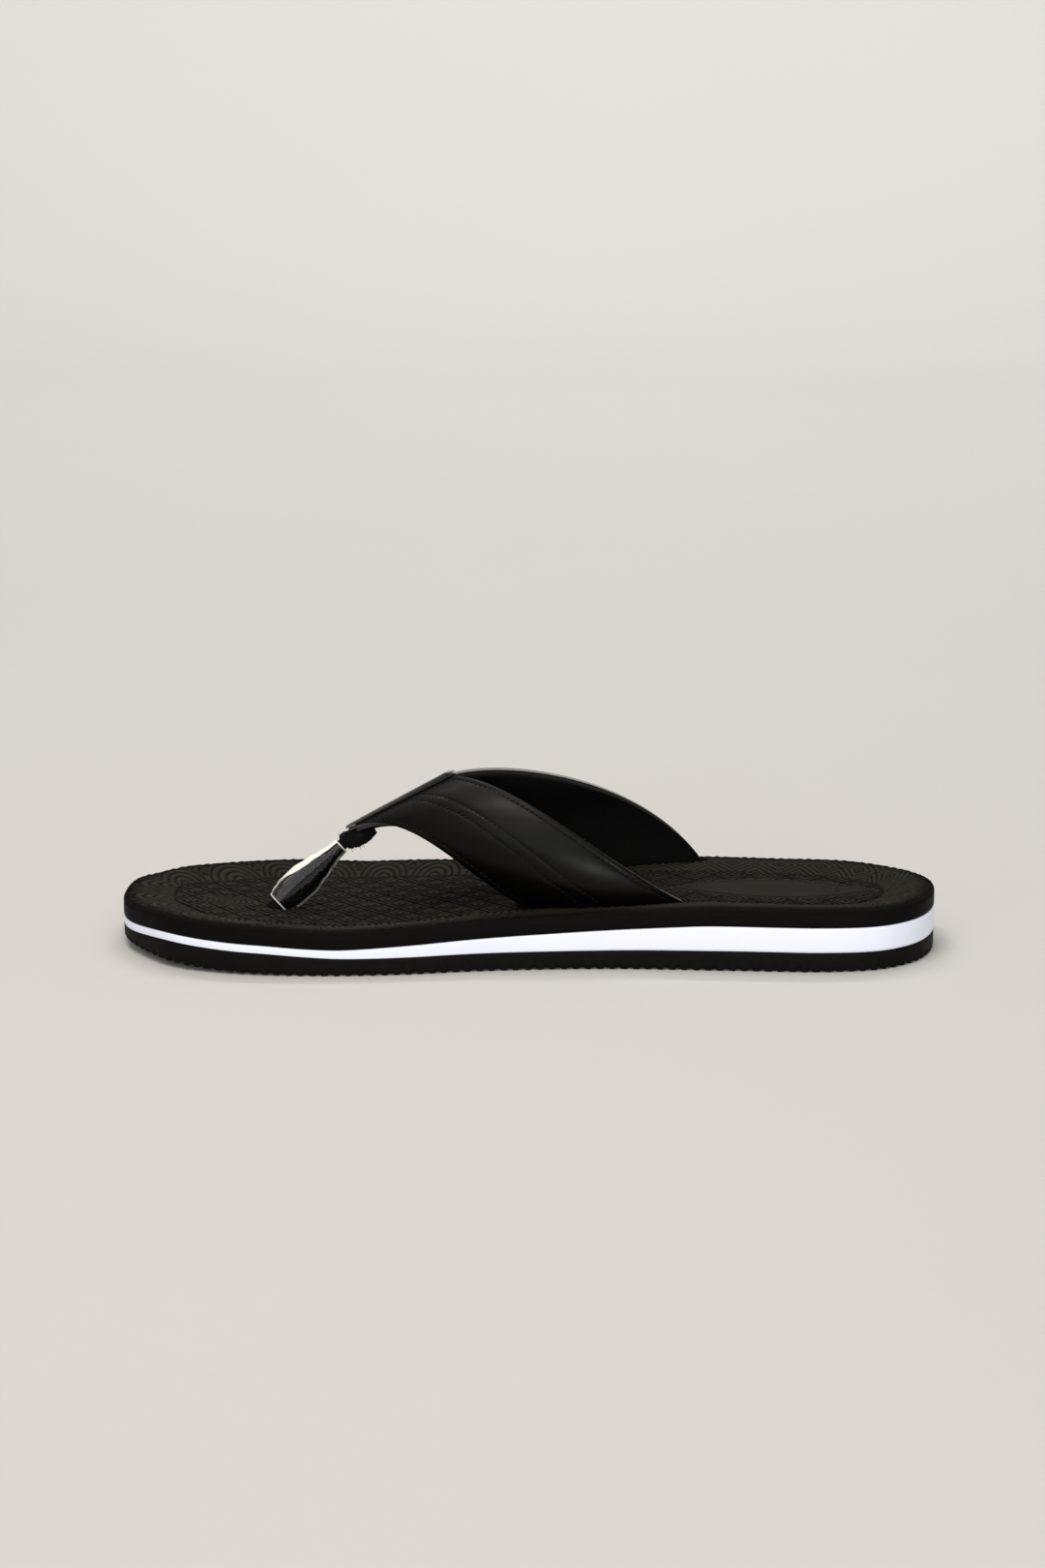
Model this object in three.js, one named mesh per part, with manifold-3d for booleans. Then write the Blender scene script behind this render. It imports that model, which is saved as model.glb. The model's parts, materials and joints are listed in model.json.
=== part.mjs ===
// Thong sandal for the right foot: rubber outsole, foam wedge, footbed, V strap and toe post.
// Millimetres. +X points to the heel, +Y to the outer side of the foot, +Z up.
// The origin is the middle of the bounding box, on the ground.
import * as THREE from 'three';
import { mergeVertices } from 'three/addons/utils/BufferGeometryUtils.js';
import ManifoldModule from 'manifold-3d';

const wasm = await ManifoldModule();
wasm.setup();

// ---------------------------------------------------------------- driving dimensions
const LENGTH = 284; // toe tip to heel end
const BALL_WIDTH = 104.4; // twice the reach of the inner side at the ball of the foot
const HEEL_WIDTH = 79; // widest place of the heel
const TOE_TIP_Y = -2.5; // the toe tip lies a little to the inner side
const TOE_SPRING = 3.2; // lift of the toe tip off the ground
const SPRING_LENGTH = 75; // the front stretch that lifts
const MIDSOLE_TOE = 2.7; // foam wedge thickness in the forefoot
const MIDSOLE_HEEL = 8.6; // foam wedge thickness in the heel
const FOOTBED_EDGE = 6.4; // height of the footbed's side wall
const EDGE_ROUND = 1.4; // rounding of the footbed's top edge
const DISH_DEPTH = 2.5; // how far the footbed dips inside its rim
const RIM_SLOPE = 17; // width of the slope from the rim down to the dip
const SOLE_BEVEL = 1.4; // bevel of the outsole's lower edge

const APEX_HEIGHT = 59.1; // top of the strap's ridge
const APEX_X = -29;
const APEX_Y = -1.8;
const NOSE_HEIGHT = 40.6; // front end of the strap's ridge
const NOSE_X = -62.8;
const NOSE_Y = -5;
const RIDGE_SPLIT = 0.7; // half the seam between the two strap leaves
const OUTER_THICKNESS = 1.2; // synthetic leather
const PADDING_THICKNESS = 1.0; // foam interlining
const LINING_THICKNESS = 0.9; // textile lining
const LAYER_GAP = 0.3; // glue line between the strap's layers
const TAIL_LENGTH = 9; // strap end glued between footbed and midsole
const TAIL_BEND = 4.8; // radius of the strap's turn under the footbed
const RIDGE_STRIP_THICKNESS = 1.1;
const RIDGE_STRIP_HALF = 2.8; // half width of the strip sewn on the ridge
const THREAD_RADIUS = 0.4;

const POST_BASE_X = -86.5; // middle of the sleeve's foot
const POST_BASE_Y = -13;
const POST_BASE_RISE = 0.9; // above the footbed's surface
const POST_TOP_BACK = 2.2; // the sleeve's top, ahead of the strap's nose
const POST_TOP_DROP = 5.8; // and below it
const WEBBING_FOOT = 2.9; // half widths of the webbing, fore and aft: in the footbed,
const WEBBING_BELLY = 4.2; // where it spreads inside the sleeve,
const WEBBING_NECK = 1.6; // and where it is gathered at the sleeve's top
const WEBBING_HALF_DEPTH = 1.5; // toe post webbing, between the toes
const KNOB_HALF = 3.3; // gathered webbing above the sleeve
const KNOB_LENGTH = 11;
const KNOB_GAP = 1.2; // from the strap's lining down to the knob, on the ridge
const SLEEVE_WALL = 0.5;
const SLEEVE_FOOT = 4.4; // half widths of the sleeve, fore and aft: its foot,
const SLEEVE_BELLY = 6; // its wide stretch
const SLEEVE_NECK = 2.9; // and its top
const SLEEVE_HALF_DEPTH = 2.9; // between the toes
const SLEEVE_TRAVEL = 1.4; // how far the sleeve can slide up the webbing
const ANCHOR_HALF_WIDTH = 8;
const ANCHOR_HALF_DEPTH = 6;
const ANCHOR_THICKNESS = 1.8;

const CLEARANCE = 0.3; // between any two pieces that touch
const SLOT_CLEARANCE = 0.6; // round the strap in its slot
const STATIONS = 30; // cross sections along the sole
const LEAF_ROWS = 13; // rows from the ridge down to the footbed
const LEAF_COLUMNS = 7; // columns from the front edge to the rear edge

// The outline: share of the length, inner reach and outer reach as shares of the half widths.
const BALL = BALL_WIDTH / 2;
const HEEL = HEEL_WIDTH / 2;
const OUTLINE = [
  [0.009, 0.35 * BALL, 0.32 * BALL],
  [0.034, 0.58 * BALL, 0.445 * BALL],
  [0.08, 0.84 * BALL, 0.58 * BALL],
  [0.15, 0.97 * BALL, 0.79 * BALL],
  [0.235, BALL, 0.93 * BALL],
  [0.34, 0.955 * BALL, 0.95 * BALL],
  [0.46, 1.09 * HEEL, 1.13 * HEEL],
  [0.6, 0.985 * HEEL, 1.04 * HEEL],
  [0.76, HEEL, 0.965 * HEEL],
  [0.87, HEEL, 0.88 * HEEL],
  [0.935, 0.88 * HEEL, 0.7 * HEEL],
  [0.982, 0.54 * HEEL, 0.41 * HEEL],
];
// Outsole thickness at shares of the length: thick under the toes, thinner at the ball.
const OUTSOLE = [[0, 4.8], [0.08, 7.6], [0.18, 7.4], [0.3, 6.1], [0.5, 6.5], [0.75, 7.1], [1, 6.8]];

const MEDIAL = -1;
const LATERAL = 1;

// ---------------------------------------------------------------- small helpers
const v3 = (x, y, z) => new THREE.Vector3(x, y, z);
const mix = (a, b, t) => a + (b - a) * t;
const clamp01 = (t) => Math.min(1, Math.max(0, t));
const smooth = (t) => clamp01(t) ** 2 * (3 - 2 * clamp01(t));
const share = (x) => x / LENGTH + 0.5;

function lookup(rows, at) {
  const after = rows.findIndex((row) => row[0] >= at);
  if (after <= 0) {
    return after === 0 ? rows[0][1] : rows[rows.length - 1][1];
  }
  const [low, high] = [rows[after - 1], rows[after]];
  return mix(low[1], high[1], smooth((at - low[0]) / (high[0] - low[0])));
}

function geometryFrom(points, faces) {
  const geometry = new THREE.BufferGeometry();
  const flat = points.flatMap((p) => [p.x, p.y, p.z]);
  geometry.setAttribute('position', new THREE.Float32BufferAttribute(flat, 3));
  let volume = 0;
  for (const [a, b, c] of faces) {
    volume += points[a].dot(v3(0, 0, 0).crossVectors(points[b], points[c]));
  }
  const outward = volume > 0 ? faces : faces.map(([a, b, c]) => [a, c, b]);
  geometry.setIndex(outward.flat());
  return geometry;
}

// A closed solid between two grids of points with the same rows and columns.
function slab(upper, lower) {
  const rows = upper.length;
  const columns = upper[0].length;
  const points = [...upper.flat(), ...lower.flat()];
  const under = rows * columns;
  const faces = [];
  const quad = (a, b, c, d) => faces.push([a, b, c], [a, c, d]);
  for (let i = 0; i + 1 < rows; i += 1) {
    for (let j = 0; j + 1 < columns; j += 1) {
      const a = i * columns + j;
      quad(a, a + 1, a + 1 + columns, a + columns);
      quad(under + a, under + a + columns, under + a + 1 + columns, under + a + 1);
    }
    const left = i * columns;
    const right = left + columns - 1;
    quad(left, left + columns, under + left + columns, under + left);
    quad(right, under + right, under + right + columns, right + columns);
  }
  for (let j = 0; j + 1 < columns; j += 1) {
    const last = (rows - 1) * columns + j;
    quad(j, under + j, under + j + 1, j + 1);
    quad(last, last + 1, under + last + 1, under + last);
  }
  return geometryFrom(points, faces);
}

// A closed solid through a stack of rings, each capped in strips from one side to the other.
function stack(rings) {
  const count = rings[0].length;
  const points = rings.flat();
  const faces = [];
  for (let r = 0; r + 1 < rings.length; r += 1) {
    for (let i = 0; i < count; i += 1) {
      const a = r * count + i;
      const b = r * count + ((i + 1) % count);
      faces.push([a, b, b + count], [a, b + count, a + count]);
    }
  }
  const cap = (start, flip) => {
    const face = (a, b, c) => faces.push(flip ? [start + a, start + c, start + b]
      : [start + a, start + b, start + c]);
    for (let i = 0; i < count / 2; i += 1) {
      const across = count - i - 1;
      if (across !== i + 1) {
        face(i, i + 1, across);
      }
      if (i > 0) {
        face(i, across, count - i);
      }
    }
  };
  cap((rings.length - 1) * count, false);
  cap(0, true);
  return geometryFrom(points, faces);
}

function toManifold(geometry) {
  const bare = geometry.clone();
  bare.deleteAttribute('normal');
  bare.deleteAttribute('uv');
  const merged = mergeVertices(bare, 1e-4);
  return new wasm.Manifold(new wasm.Mesh({
    numProp: 3,
    vertProperties: new Float32Array(merged.attributes.position.array),
    triVerts: new Uint32Array(merged.index.array),
  }));
}

function fromManifold(solid) {
  const mesh = solid.getMesh();
  const geometry = new THREE.BufferGeometry();
  geometry.setAttribute('position', new THREE.BufferAttribute(mesh.vertProperties, 3));
  geometry.setIndex(new THREE.BufferAttribute(mesh.triVerts, 1));
  return geometry;
}

function cut(geometry, ...cutters) {
  return fromManifold(cutters.reduce(
    (solid, cutter) => solid.subtract(toManifold(cutter)),
    toManifold(geometry),
  ));
}

// ---------------------------------------------------------------- sole shape
const CURVE_STEPS = 400;

// One closed curve: toe tip, inner side, heel end, outer side.
const outlineCurve = new THREE.CatmullRomCurve3([
  v3(-LENGTH / 2, TOE_TIP_Y, 0),
  ...OUTLINE.map(([at, inner]) => v3((at - 0.5) * LENGTH, -inner, 0)),
  v3(LENGTH / 2, 0, 0),
  ...OUTLINE.map(([at, , outer]) => v3((at - 0.5) * LENGTH, outer, 0)).reverse(),
], true, 'centripetal').getPoints(2 * CURVE_STEPS);

const sideSamples = {
  [MEDIAL]: outlineCurve.slice(0, CURVE_STEPS + 1),
  [LATERAL]: outlineCurve.slice(CURVE_STEPS).reverse(),
};

function edgeY(side, x) {
  const samples = sideSamples[side];
  const after = samples.findIndex((p) => p.x >= x);
  if (after <= 0) {
    return samples[after === 0 ? 0 : samples.length - 1].y;
  }
  const [low, high] = [samples[after - 1], samples[after]];
  return mix(low.y, high.y, (x - low.x) / (high.x - low.x));
}

const middleY = (x) => (edgeY(MEDIAL, x) + edgeY(LATERAL, x)) / 2;
const groundZ = (x) => TOE_SPRING
  * clamp01((SPRING_LENGTH - LENGTH / 2 - x) / SPRING_LENGTH) ** 1.6;
const outsoleTop = (x) => groundZ(x) + lookup(OUTSOLE, share(x));
const midsoleTop = (x) => outsoleTop(x)
  + mix(MIDSOLE_TOE, MIDSOLE_HEEL, clamp01((share(x) - 0.26) / 0.46));
const rimTop = (x) => midsoleTop(x) + FOOTBED_EDGE;
const dishDepth = (x) => DISH_DEPTH * (1 - 0.45 * Math.exp(-(((x - 22) / 38) ** 2)));

function footbedTop(x, y) {
  const inset = Math.min(y - edgeY(MEDIAL, x), edgeY(LATERAL, x) - y);
  const slope = smooth((inset - EDGE_ROUND * 2) / RIM_SLOPE);
  return rimTop(x) - dishDepth(x) * slope;
}

// The outline as a ring: toe tip, inner side, heel end, outer side.
function outlineRing() {
  const xs = Array.from({ length: STATIONS }, (_, i) => (
    -LENGTH / 2) * Math.cos((Math.PI * (i + 1)) / (STATIONS + 1)));
  return [
    v3(-LENGTH / 2, TOE_TIP_Y, 0),
    ...xs.map((x) => v3(x, edgeY(MEDIAL, x), 0)),
    v3(LENGTH / 2, 0, 0),
    ...xs.map((x) => v3(x, edgeY(LATERAL, x), 0)).reverse(),
  ];
}

// The outline moved inwards, towards a spine that ends under the toes and in the heel.
function insetRing(distance, heightAt) {
  const spineFront = -LENGTH / 2 + BALL * 0.8;
  const spineRear = LENGTH / 2 - HEEL * 0.9;
  return outlineRing().map((p) => {
    const x = Math.min(spineRear, Math.max(spineFront, p.x));
    const inwards = v3(x, middleY(x), 0).sub(p).normalize();
    const moved = p.clone().addScaledVector(inwards, distance);
    return moved.setZ(heightAt(moved.x));
  });
}

const outsoleShape = () => stack([
  insetRing(SOLE_BEVEL, groundZ),
  insetRing(0, (x) => groundZ(x) + SOLE_BEVEL),
  insetRing(0, (x) => outsoleTop(x) - CLEARANCE / 2),
]);

const midsoleShape = () => stack([
  insetRing(0, (x) => outsoleTop(x) + CLEARANCE / 2),
  insetRing(0, (x) => midsoleTop(x) - CLEARANCE / 2),
]);

function footbedShape() {
  const slopeRing = (t) => insetRing(
    EDGE_ROUND * 2 + RIM_SLOPE * t,
    (x) => rimTop(x) - dishDepth(x) * smooth(t),
  );
  return stack([
    insetRing(0, (x) => midsoleTop(x) + CLEARANCE / 2),
    insetRing(0, (x) => rimTop(x) - EDGE_ROUND),
    insetRing(EDGE_ROUND * 0.3, (x) => rimTop(x) - EDGE_ROUND * 0.3),
    insetRing(EDGE_ROUND, rimTop),
    ...[0, 0.3, 0.55, 0.8, 1].map(slopeRing),
  ]);
}

// ---------------------------------------------------------------- strap shape
// Each leaf hangs between a front edge and a rear edge, from the ridge to the footbed.
const LEAF = {
  [MEDIAL]: {
    frontBase: { x: -2, inset: 24 },
    rearBase: { x: 54.5, inset: 16.5 },
    frontPull: [[0.36, 1.1, 0.56], [0.72, 2.1, -0.52]],
    rearPull: [[0.27, 1.07, 0.19], [0.66, 1.75, -0.54]],
    slotBow: 7,
  },
  [LATERAL]: {
    frontBase: { x: 2, inset: 22 },
    rearBase: { x: 60, inset: 5 },
    frontPull: [[0.36, 0.8, 0.54], [0.72, 1.35, -0.45]],
    rearPull: [[0.17, 0.56, 0.06], [0.73, 1.22, -0.185]],
    slotBow: 3,
  },
};

function basePoint(side, { x, inset }) {
  const y = edgeY(side, x) - side * inset;
  return v3(x, y, footbedTop(x, y));
}

// A cubic edge: each pull gives its handle as shares of the run along X, Y and the drop.
function edgeCurve(top, base, pulls) {
  const run = base.clone().sub(top);
  const handles = pulls.map(([px, py, pz]) => v3(
    top.x + run.x * px,
    top.y + run.y * py,
    top.z - run.z * pz,
  ));
  return new THREE.CubicBezierCurve3(top, handles[0], handles[1], base);
}

function leafEdges(side) {
  const leaf = LEAF[side];
  const nose = v3(NOSE_X, NOSE_Y + side * RIDGE_SPLIT, NOSE_HEIGHT);
  const apex = v3(APEX_X, APEX_Y + side * RIDGE_SPLIT, APEX_HEIGHT);
  return {
    front: edgeCurve(nose, basePoint(side, leaf.frontBase), leaf.frontPull),
    rear: edgeCurve(apex, basePoint(side, leaf.rearBase), leaf.rearPull),
  };
}

const edges = { [MEDIAL]: leafEdges(MEDIAL), [LATERAL]: leafEdges(LATERAL) };

// A point of the leaf's outer face: u from ridge to footbed, v from front edge to rear edge.
function leafPoint(side, u, v) {
  const point = edges[side].front.getPoint(u).lerp(edges[side].rear.getPoint(u), v);
  const bow = 4 * v * (1 - v) * u * u * LEAF[side].slotBow;
  const crown = 4 * v * (1 - v) * 4 * u * (1 - u) * 2;
  return point.add(v3(0, side * (bow + crown), crown * 0.5));
}

// Under the footbed's surface the strap drops through its slot and turns inwards.
function tailRows(side, v, extra) {
  const start = leafPoint(side, 1, v);
  const floor = midsoleTop(start.x) - 4.6;
  const rows = [];
  const drop = start.z - floor - TAIL_BEND;
  rows.push(start.clone().add(v3(0, 0, -drop)));
  for (const turn of [0.25, 0.5, 0.75, 1]) {
    const angle = (turn * Math.PI) / 2;
    const inwards = TAIL_BEND * (1 - Math.cos(angle));
    rows.push(v3(start.x, start.y - side * inwards, floor + TAIL_BEND * (1 - Math.sin(angle))));
  }
  rows.push(v3(start.x, start.y - side * (TAIL_BEND + TAIL_LENGTH + extra), floor));
  return rows;
}

// Rows run down the leaf and columns across it; a border adds one more row and column outside.
function leafGrid(side, { firstU = 0, lastU = 1, trim = 0, border = 0, withTail = true }) {
  const spread = (count, from, to) => Array.from({ length: count }, (_, i) => (
    mix(from, to, i / (count - 1))));
  const columns = spread(LEAF_COLUMNS, trim, 1 - trim);
  const downs = spread(LEAF_ROWS, firstU, lastU);
  if (border > 0) {
    columns.unshift(-border);
    columns.push(1 + border);
    downs.unshift(firstU - border);
  }
  const rows = downs.map((u) => columns.map((v) => leafPoint(side, u, v)));
  if (withTail) {
    const tails = columns.map((v) => tailRows(side, v, border > 0 ? SLOT_CLEARANCE : 0));
    tails[0].forEach((_, i) => rows.push(tails.map((tail) => tail[i])));
  }
  return rows;
}

function gridNormals(grid, side) {
  const rows = grid.length - 1;
  const columns = grid[0].length - 1;
  return grid.map((row, i) => row.map((_, j) => {
    const along = grid[Math.min(rows, i + 1)][j].clone().sub(grid[Math.max(0, i - 1)][j]);
    const across = grid[i][Math.min(columns, j + 1)].clone().sub(grid[i][Math.max(0, j - 1)]);
    return along.cross(across).normalize().multiplyScalar(side < 0 ? 1 : -1);
  }));
}

// One layer of a leaf, between two depths under its outer face.
function leafLayer(side, outerDepth, innerDepth, options = {}) {
  const grid = leafGrid(side, options);
  const normals = gridNormals(grid, side);
  const moved = (depth) => grid.map((row, i) => row.map((p, j) => (
    p.clone().addScaledVector(normals[i][j], -depth))));
  return slab(moved(outerDepth), moved(innerDepth));
}

const PADDING_DEPTH = OUTER_THICKNESS + LAYER_GAP;
const LINING_DEPTH = PADDING_DEPTH + PADDING_THICKNESS + LAYER_GAP;
const STRAP_THICKNESS = LINING_DEPTH + LINING_THICKNESS;

const strapOuter = (side) => leafLayer(side, 0, OUTER_THICKNESS);
const strapPadding = (side) => leafLayer(side, PADDING_DEPTH, PADDING_DEPTH + PADDING_THICKNESS, {
  firstU: 0.05, lastU: 0.97, trim: 0.03, withTail: false,
});
const strapLining = (side) => leafLayer(side, LINING_DEPTH, STRAP_THICKNESS, { firstU: 0.05 });
// The room that a leaf takes up, cut from what it passes through.
const strapRoom = (side, above = SLOT_CLEARANCE) => (
  leafLayer(side, -above, STRAP_THICKNESS + SLOT_CLEARANCE, { border: SLOT_CLEARANCE / 40 }));

// The strip over the seam where the two leaves meet.
function ridgeStrip() {
  const reach = RIDGE_STRIP_HALF / 44;
  const columns = [[MEDIAL, reach], [MEDIAL, reach / 2], null, [LATERAL, reach / 2], [LATERAL, reach]];
  const rows = Array.from({ length: 9 }, (_, i) => mix(-0.02, 1.01, i / 8));
  const base = rows.map((v) => columns.map((column) => {
    if (column) {
      return leafPoint(column[0], column[1], v);
    }
    return leafPoint(MEDIAL, 0, v).lerp(leafPoint(LATERAL, 0, v), 0.5);
  }));
  const normals = gridNormals(base, LATERAL);
  normals.forEach((row) => row.forEach((n) => n.multiplyScalar(Math.sign(n.z))));
  const raised = (height) => base.map((row, i) => row.map((p, j) => (
    p.clone().addScaledVector(normals[i][j], height))));
  return slab(raised(CLEARANCE + 0.1 + RIDGE_STRIP_THICKNESS), raised(CLEARANCE + 0.1));
}

// A row of stitching: one bead lying on the outer face, from v at the ridge to v at its end.
function stitchRow(side, fromU, toU, fromV, toV) {
  const steps = 18;
  const lift = CLEARANCE * 0.5 + THREAD_RADIUS * 1.3;
  const delta = 0.01;
  const path = Array.from({ length: steps + 1 }, (_, i) => {
    const u = mix(fromU, toU, i / steps);
    const v = mix(fromV, toV, i / steps);
    const along = leafPoint(side, u + delta, v).sub(leafPoint(side, u - delta, v));
    const across = leafPoint(side, u, v + delta).sub(leafPoint(side, u, v - delta));
    const normal = along.cross(across).normalize().multiplyScalar(side < 0 ? 1 : -1);
    return leafPoint(side, u, v).addScaledVector(normal, lift);
  });
  const section = new THREE.Shape(Array.from({ length: 5 }, (_, i) => new THREE.Vector2(
    THREAD_RADIUS * Math.cos((i * Math.PI) / 2.5),
    THREAD_RADIUS * Math.sin((i * Math.PI) / 2.5),
  )));
  return new THREE.ExtrudeGeometry(section, {
    steps,
    extrudePath: new THREE.CatmullRomCurve3(path),
  });
}

// ---------------------------------------------------------------- toe post
const postBase = v3(
  POST_BASE_X,
  POST_BASE_Y,
  footbedTop(POST_BASE_X, POST_BASE_Y) + POST_BASE_RISE,
);
const sleeveTop = v3(NOSE_X - POST_TOP_BACK, NOSE_Y - POST_TOP_BACK, NOSE_HEIGHT - POST_TOP_DROP);
const postAxis = sleeveTop.clone().sub(postBase).normalize();
const sleeveLength = sleeveTop.distanceTo(postBase);
const knobStart = sleeveLength + SLEEVE_TRAVEL + CLEARANCE;
const POST_SIDES = 20;

// A ring across the toe post, wide fore and aft and thin between the toes.
function ringAround(centre, axis, halfWidth, halfDepth) {
  const across = v3(0, 1, 0).addScaledVector(axis, -axis.y).normalize();
  const wide = v3(0, 0, 0).crossVectors(across, axis).normalize();
  return Array.from({ length: POST_SIDES }, (_, i) => {
    const angle = (i / POST_SIDES) * 2 * Math.PI;
    return centre.clone()
      .addScaledVector(wide, halfWidth * Math.cos(angle))
      .addScaledVector(across, halfDepth * Math.sin(angle));
  });
}

const postRing = (distance, halfWidth, halfDepth) => ringAround(
  postBase.clone().addScaledVector(postAxis, distance),
  postAxis,
  halfWidth,
  halfDepth,
);

// The ring slid along the post's axis onto a level plane.
const levelled = (ring, z) => ring.map((p) => (
  p.clone().addScaledVector(postAxis, (z - p.z) / postAxis.z)));

const sleeveWidth = (t) => lookup([
  [0, SLEEVE_FOOT],
  [0.2, SLEEVE_BELLY * 0.98],
  [0.4, SLEEVE_BELLY],
  [0.62, mix(SLEEVE_BELLY, SLEEVE_NECK, 0.36)],
  [0.88, mix(SLEEVE_BELLY, SLEEVE_NECK, 0.92)],
  [1, SLEEVE_NECK],
], t);

const webbingWidth = (t) => lookup([
  [0, WEBBING_FOOT],
  [0.3, WEBBING_BELLY],
  [0.5, WEBBING_BELLY],
  [0.9, WEBBING_NECK],
  [1, WEBBING_NECK],
], t);

// The folded webbing runs on from the sleeve, bending level to lie under the strap's nose.
function knobRing(share, half) {
  const start = postBase.clone().addScaledVector(postAxis, knobStart);
  const centre = start.clone()
    .addScaledVector(postAxis, KNOB_LENGTH * share * (1 - share * 0.45))
    .add(v3(KNOB_LENGTH * share * share * 0.45, 0, 0));
  const level = postAxis.clone().lerp(v3(1, 0, 0), share * 0.7).normalize();
  return ringAround(centre, level, half, half * 0.95);
}

// Everything from the strap's lining at the ridge upwards, from ahead of the nose to the apex.
function aboveRidge() {
  const nose = v3(NOSE_X, NOSE_Y, NOSE_HEIGHT);
  const run = v3(APEX_X - NOSE_X, 0, APEX_HEIGHT - NOSE_HEIGHT).normalize();
  const up = v3(-run.z, 0, run.x);
  const ring = (height) => [[-1, -1], [1, -1], [1, 1], [-1, 1]].map(([along, across]) => (
    nose.clone()
      .addScaledVector(run, along * KNOB_LENGTH * 2)
      .addScaledVector(up, height)
      .add(v3(0, across * KNOB_LENGTH, 0))));
  return stack([ring(-STRAP_THICKNESS - KNOB_GAP), ring(KNOB_LENGTH)]);
}

const anchorTop = midsoleTop(POST_BASE_X) - CLEARANCE;
const anchorMiddle = postBase.clone()
  .addScaledVector(postAxis, (anchorTop - postBase.z) / postAxis.z);

function toePostWebbing() {
  const depth = WEBBING_HALF_DEPTH;
  const inSleeve = [0.1, 0.3, 0.5, 0.7, 0.9].map((t) => (
    postRing(sleeveLength * t, webbingWidth(t), depth)));
  const rings = [
    levelled(postRing(0, WEBBING_FOOT, depth), anchorTop + CLEARANCE),
    ...inSleeve,
    postRing(knobStart - SLEEVE_TRAVEL * 0.3, WEBBING_NECK, depth),
    knobRing(0, KNOB_HALF * 0.9),
    knobRing(0.3, KNOB_HALF),
    knobRing(0.65, KNOB_HALF * 0.95),
    knobRing(1, KNOB_HALF * 0.7),
  ];
  return cut(stack(rings), aboveRidge(), strapRoom(MEDIAL), strapRoom(LATERAL));
}

// The sleeve's shape, grown outwards and run on past both its ends.
function sleeveForm(grow, run) {
  const shares = [0, 0.1, 0.2, 0.35, 0.5, 0.65, 0.8, 0.9, 1];
  const end = (distance, t) => postRing(distance, sleeveWidth(t) + grow, SLEEVE_HALF_DEPTH + grow);
  const rings = shares.map((t) => end(sleeveLength * t, t));
  if (run > 0) {
    rings.unshift(end(-run, 0));
    rings.push(end(sleeveLength + run, 1));
  }
  return stack(rings);
}

const toePostSleeve = () => cut(sleeveForm(0, 0), sleeveForm(-SLEEVE_WALL, SLEEVE_WALL));

// The dimple that the sleeve's foot stands in, round the webbing's hole.
const sleeveDimple = () => stack([
  postRing(-CLEARANCE, SLEEVE_BELLY + CLEARANCE, SLEEVE_HALF_DEPTH + CLEARANCE * 2),
  postRing(sleeveLength / 2, SLEEVE_BELLY + CLEARANCE, SLEEVE_HALF_DEPTH + CLEARANCE * 2),
]);

function webbingHole() {
  const ring = postRing(0, WEBBING_FOOT + CLEARANCE * 2, WEBBING_HALF_DEPTH + CLEARANCE);
  return stack([levelled(ring, anchorTop - 1), levelled(ring, postBase.z)]);
}

function anchorDisc(grow) {
  const ring = (z) => Array.from({ length: POST_SIDES }, (_, i) => {
    const angle = (i / POST_SIDES) * 2 * Math.PI;
    return v3(
      anchorMiddle.x + (ANCHOR_HALF_WIDTH + grow) * Math.cos(angle),
      anchorMiddle.y + (ANCHOR_HALF_DEPTH + grow) * Math.sin(angle),
      z,
    );
  });
  return stack([ring(anchorTop - ANCHOR_THICKNESS - grow), ring(anchorTop + grow * 3)]);
}

// ---------------------------------------------------------------- assembly
const FINISH = {
  rubber: { color: 0x1b1b1b, roughness: 0.8, metalness: 0 },
  foam: { color: 0xf2f1ee, roughness: 0.7, metalness: 0 },
  footbed: { color: 0x232220, roughness: 0.85, metalness: 0 },
  leather: { color: 0x191817, roughness: 0.5, metalness: 0 },
  padding: { color: 0x8d8478, roughness: 0.95, metalness: 0 },
  lining: { color: 0x121212, roughness: 0.95, metalness: 0 },
  thread: { color: 0x0c0c0c, roughness: 0.9, metalness: 0 },
  webbing: { color: 0x131313, roughness: 0.95, metalness: 0 },
  clear: { color: 0xdad6c8, roughness: 0.1, metalness: 0 },
};

const sandal = new THREE.Group();

function place(name, geometry, finish) {
  const mesh = new THREE.Mesh(geometry, new THREE.MeshStandardMaterial(FINISH[finish]));
  mesh.name = name;
  sandal.add(mesh);
}

function addSole() {
  const slots = [strapRoom(MEDIAL), strapRoom(LATERAL)];
  place('outsole', outsoleShape(), 'rubber');
  place('midsole', cut(midsoleShape(), ...slots, anchorDisc(CLEARANCE)), 'foam');
  place('footbed', cut(footbedShape(), ...slots, sleeveDimple(), webbingHole()), 'footbed');
}

function addLeaf(side, word) {
  place(`${word}_strap_outer`, strapOuter(side), 'leather');
  place(`${word}_strap_padding`, strapPadding(side), 'padding');
  place(`${word}_strap_lining`, strapLining(side), 'lining');
  place(`${word}_front_stitching`, stitchRow(side, 0.12, 0.93, 0.07, 0.06), 'thread');
  place(`${word}_rear_stitching`, stitchRow(side, 0.08, 0.9, 0.94, 0.94), 'thread');
  place(`${word}_lower_centre_stitching`, stitchRow(side, 0.08, 0.9, 0.5, 0.42), 'thread');
  place(`${word}_upper_centre_stitching`, stitchRow(side, 0.08, 0.9, 0.62, 0.54), 'thread');
}

function addToePost() {
  place('toe_post_webbing', toePostWebbing(), 'webbing');
  place('toe_post_sleeve', toePostSleeve(), 'clear');
  place('toe_post_anchor', anchorDisc(0), 'rubber');
}

addSole();
addLeaf(MEDIAL, 'medial');
addLeaf(LATERAL, 'lateral');
place('ridge_strip', ridgeStrip(), 'leather');
addToePost();

export default sandal;
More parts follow.
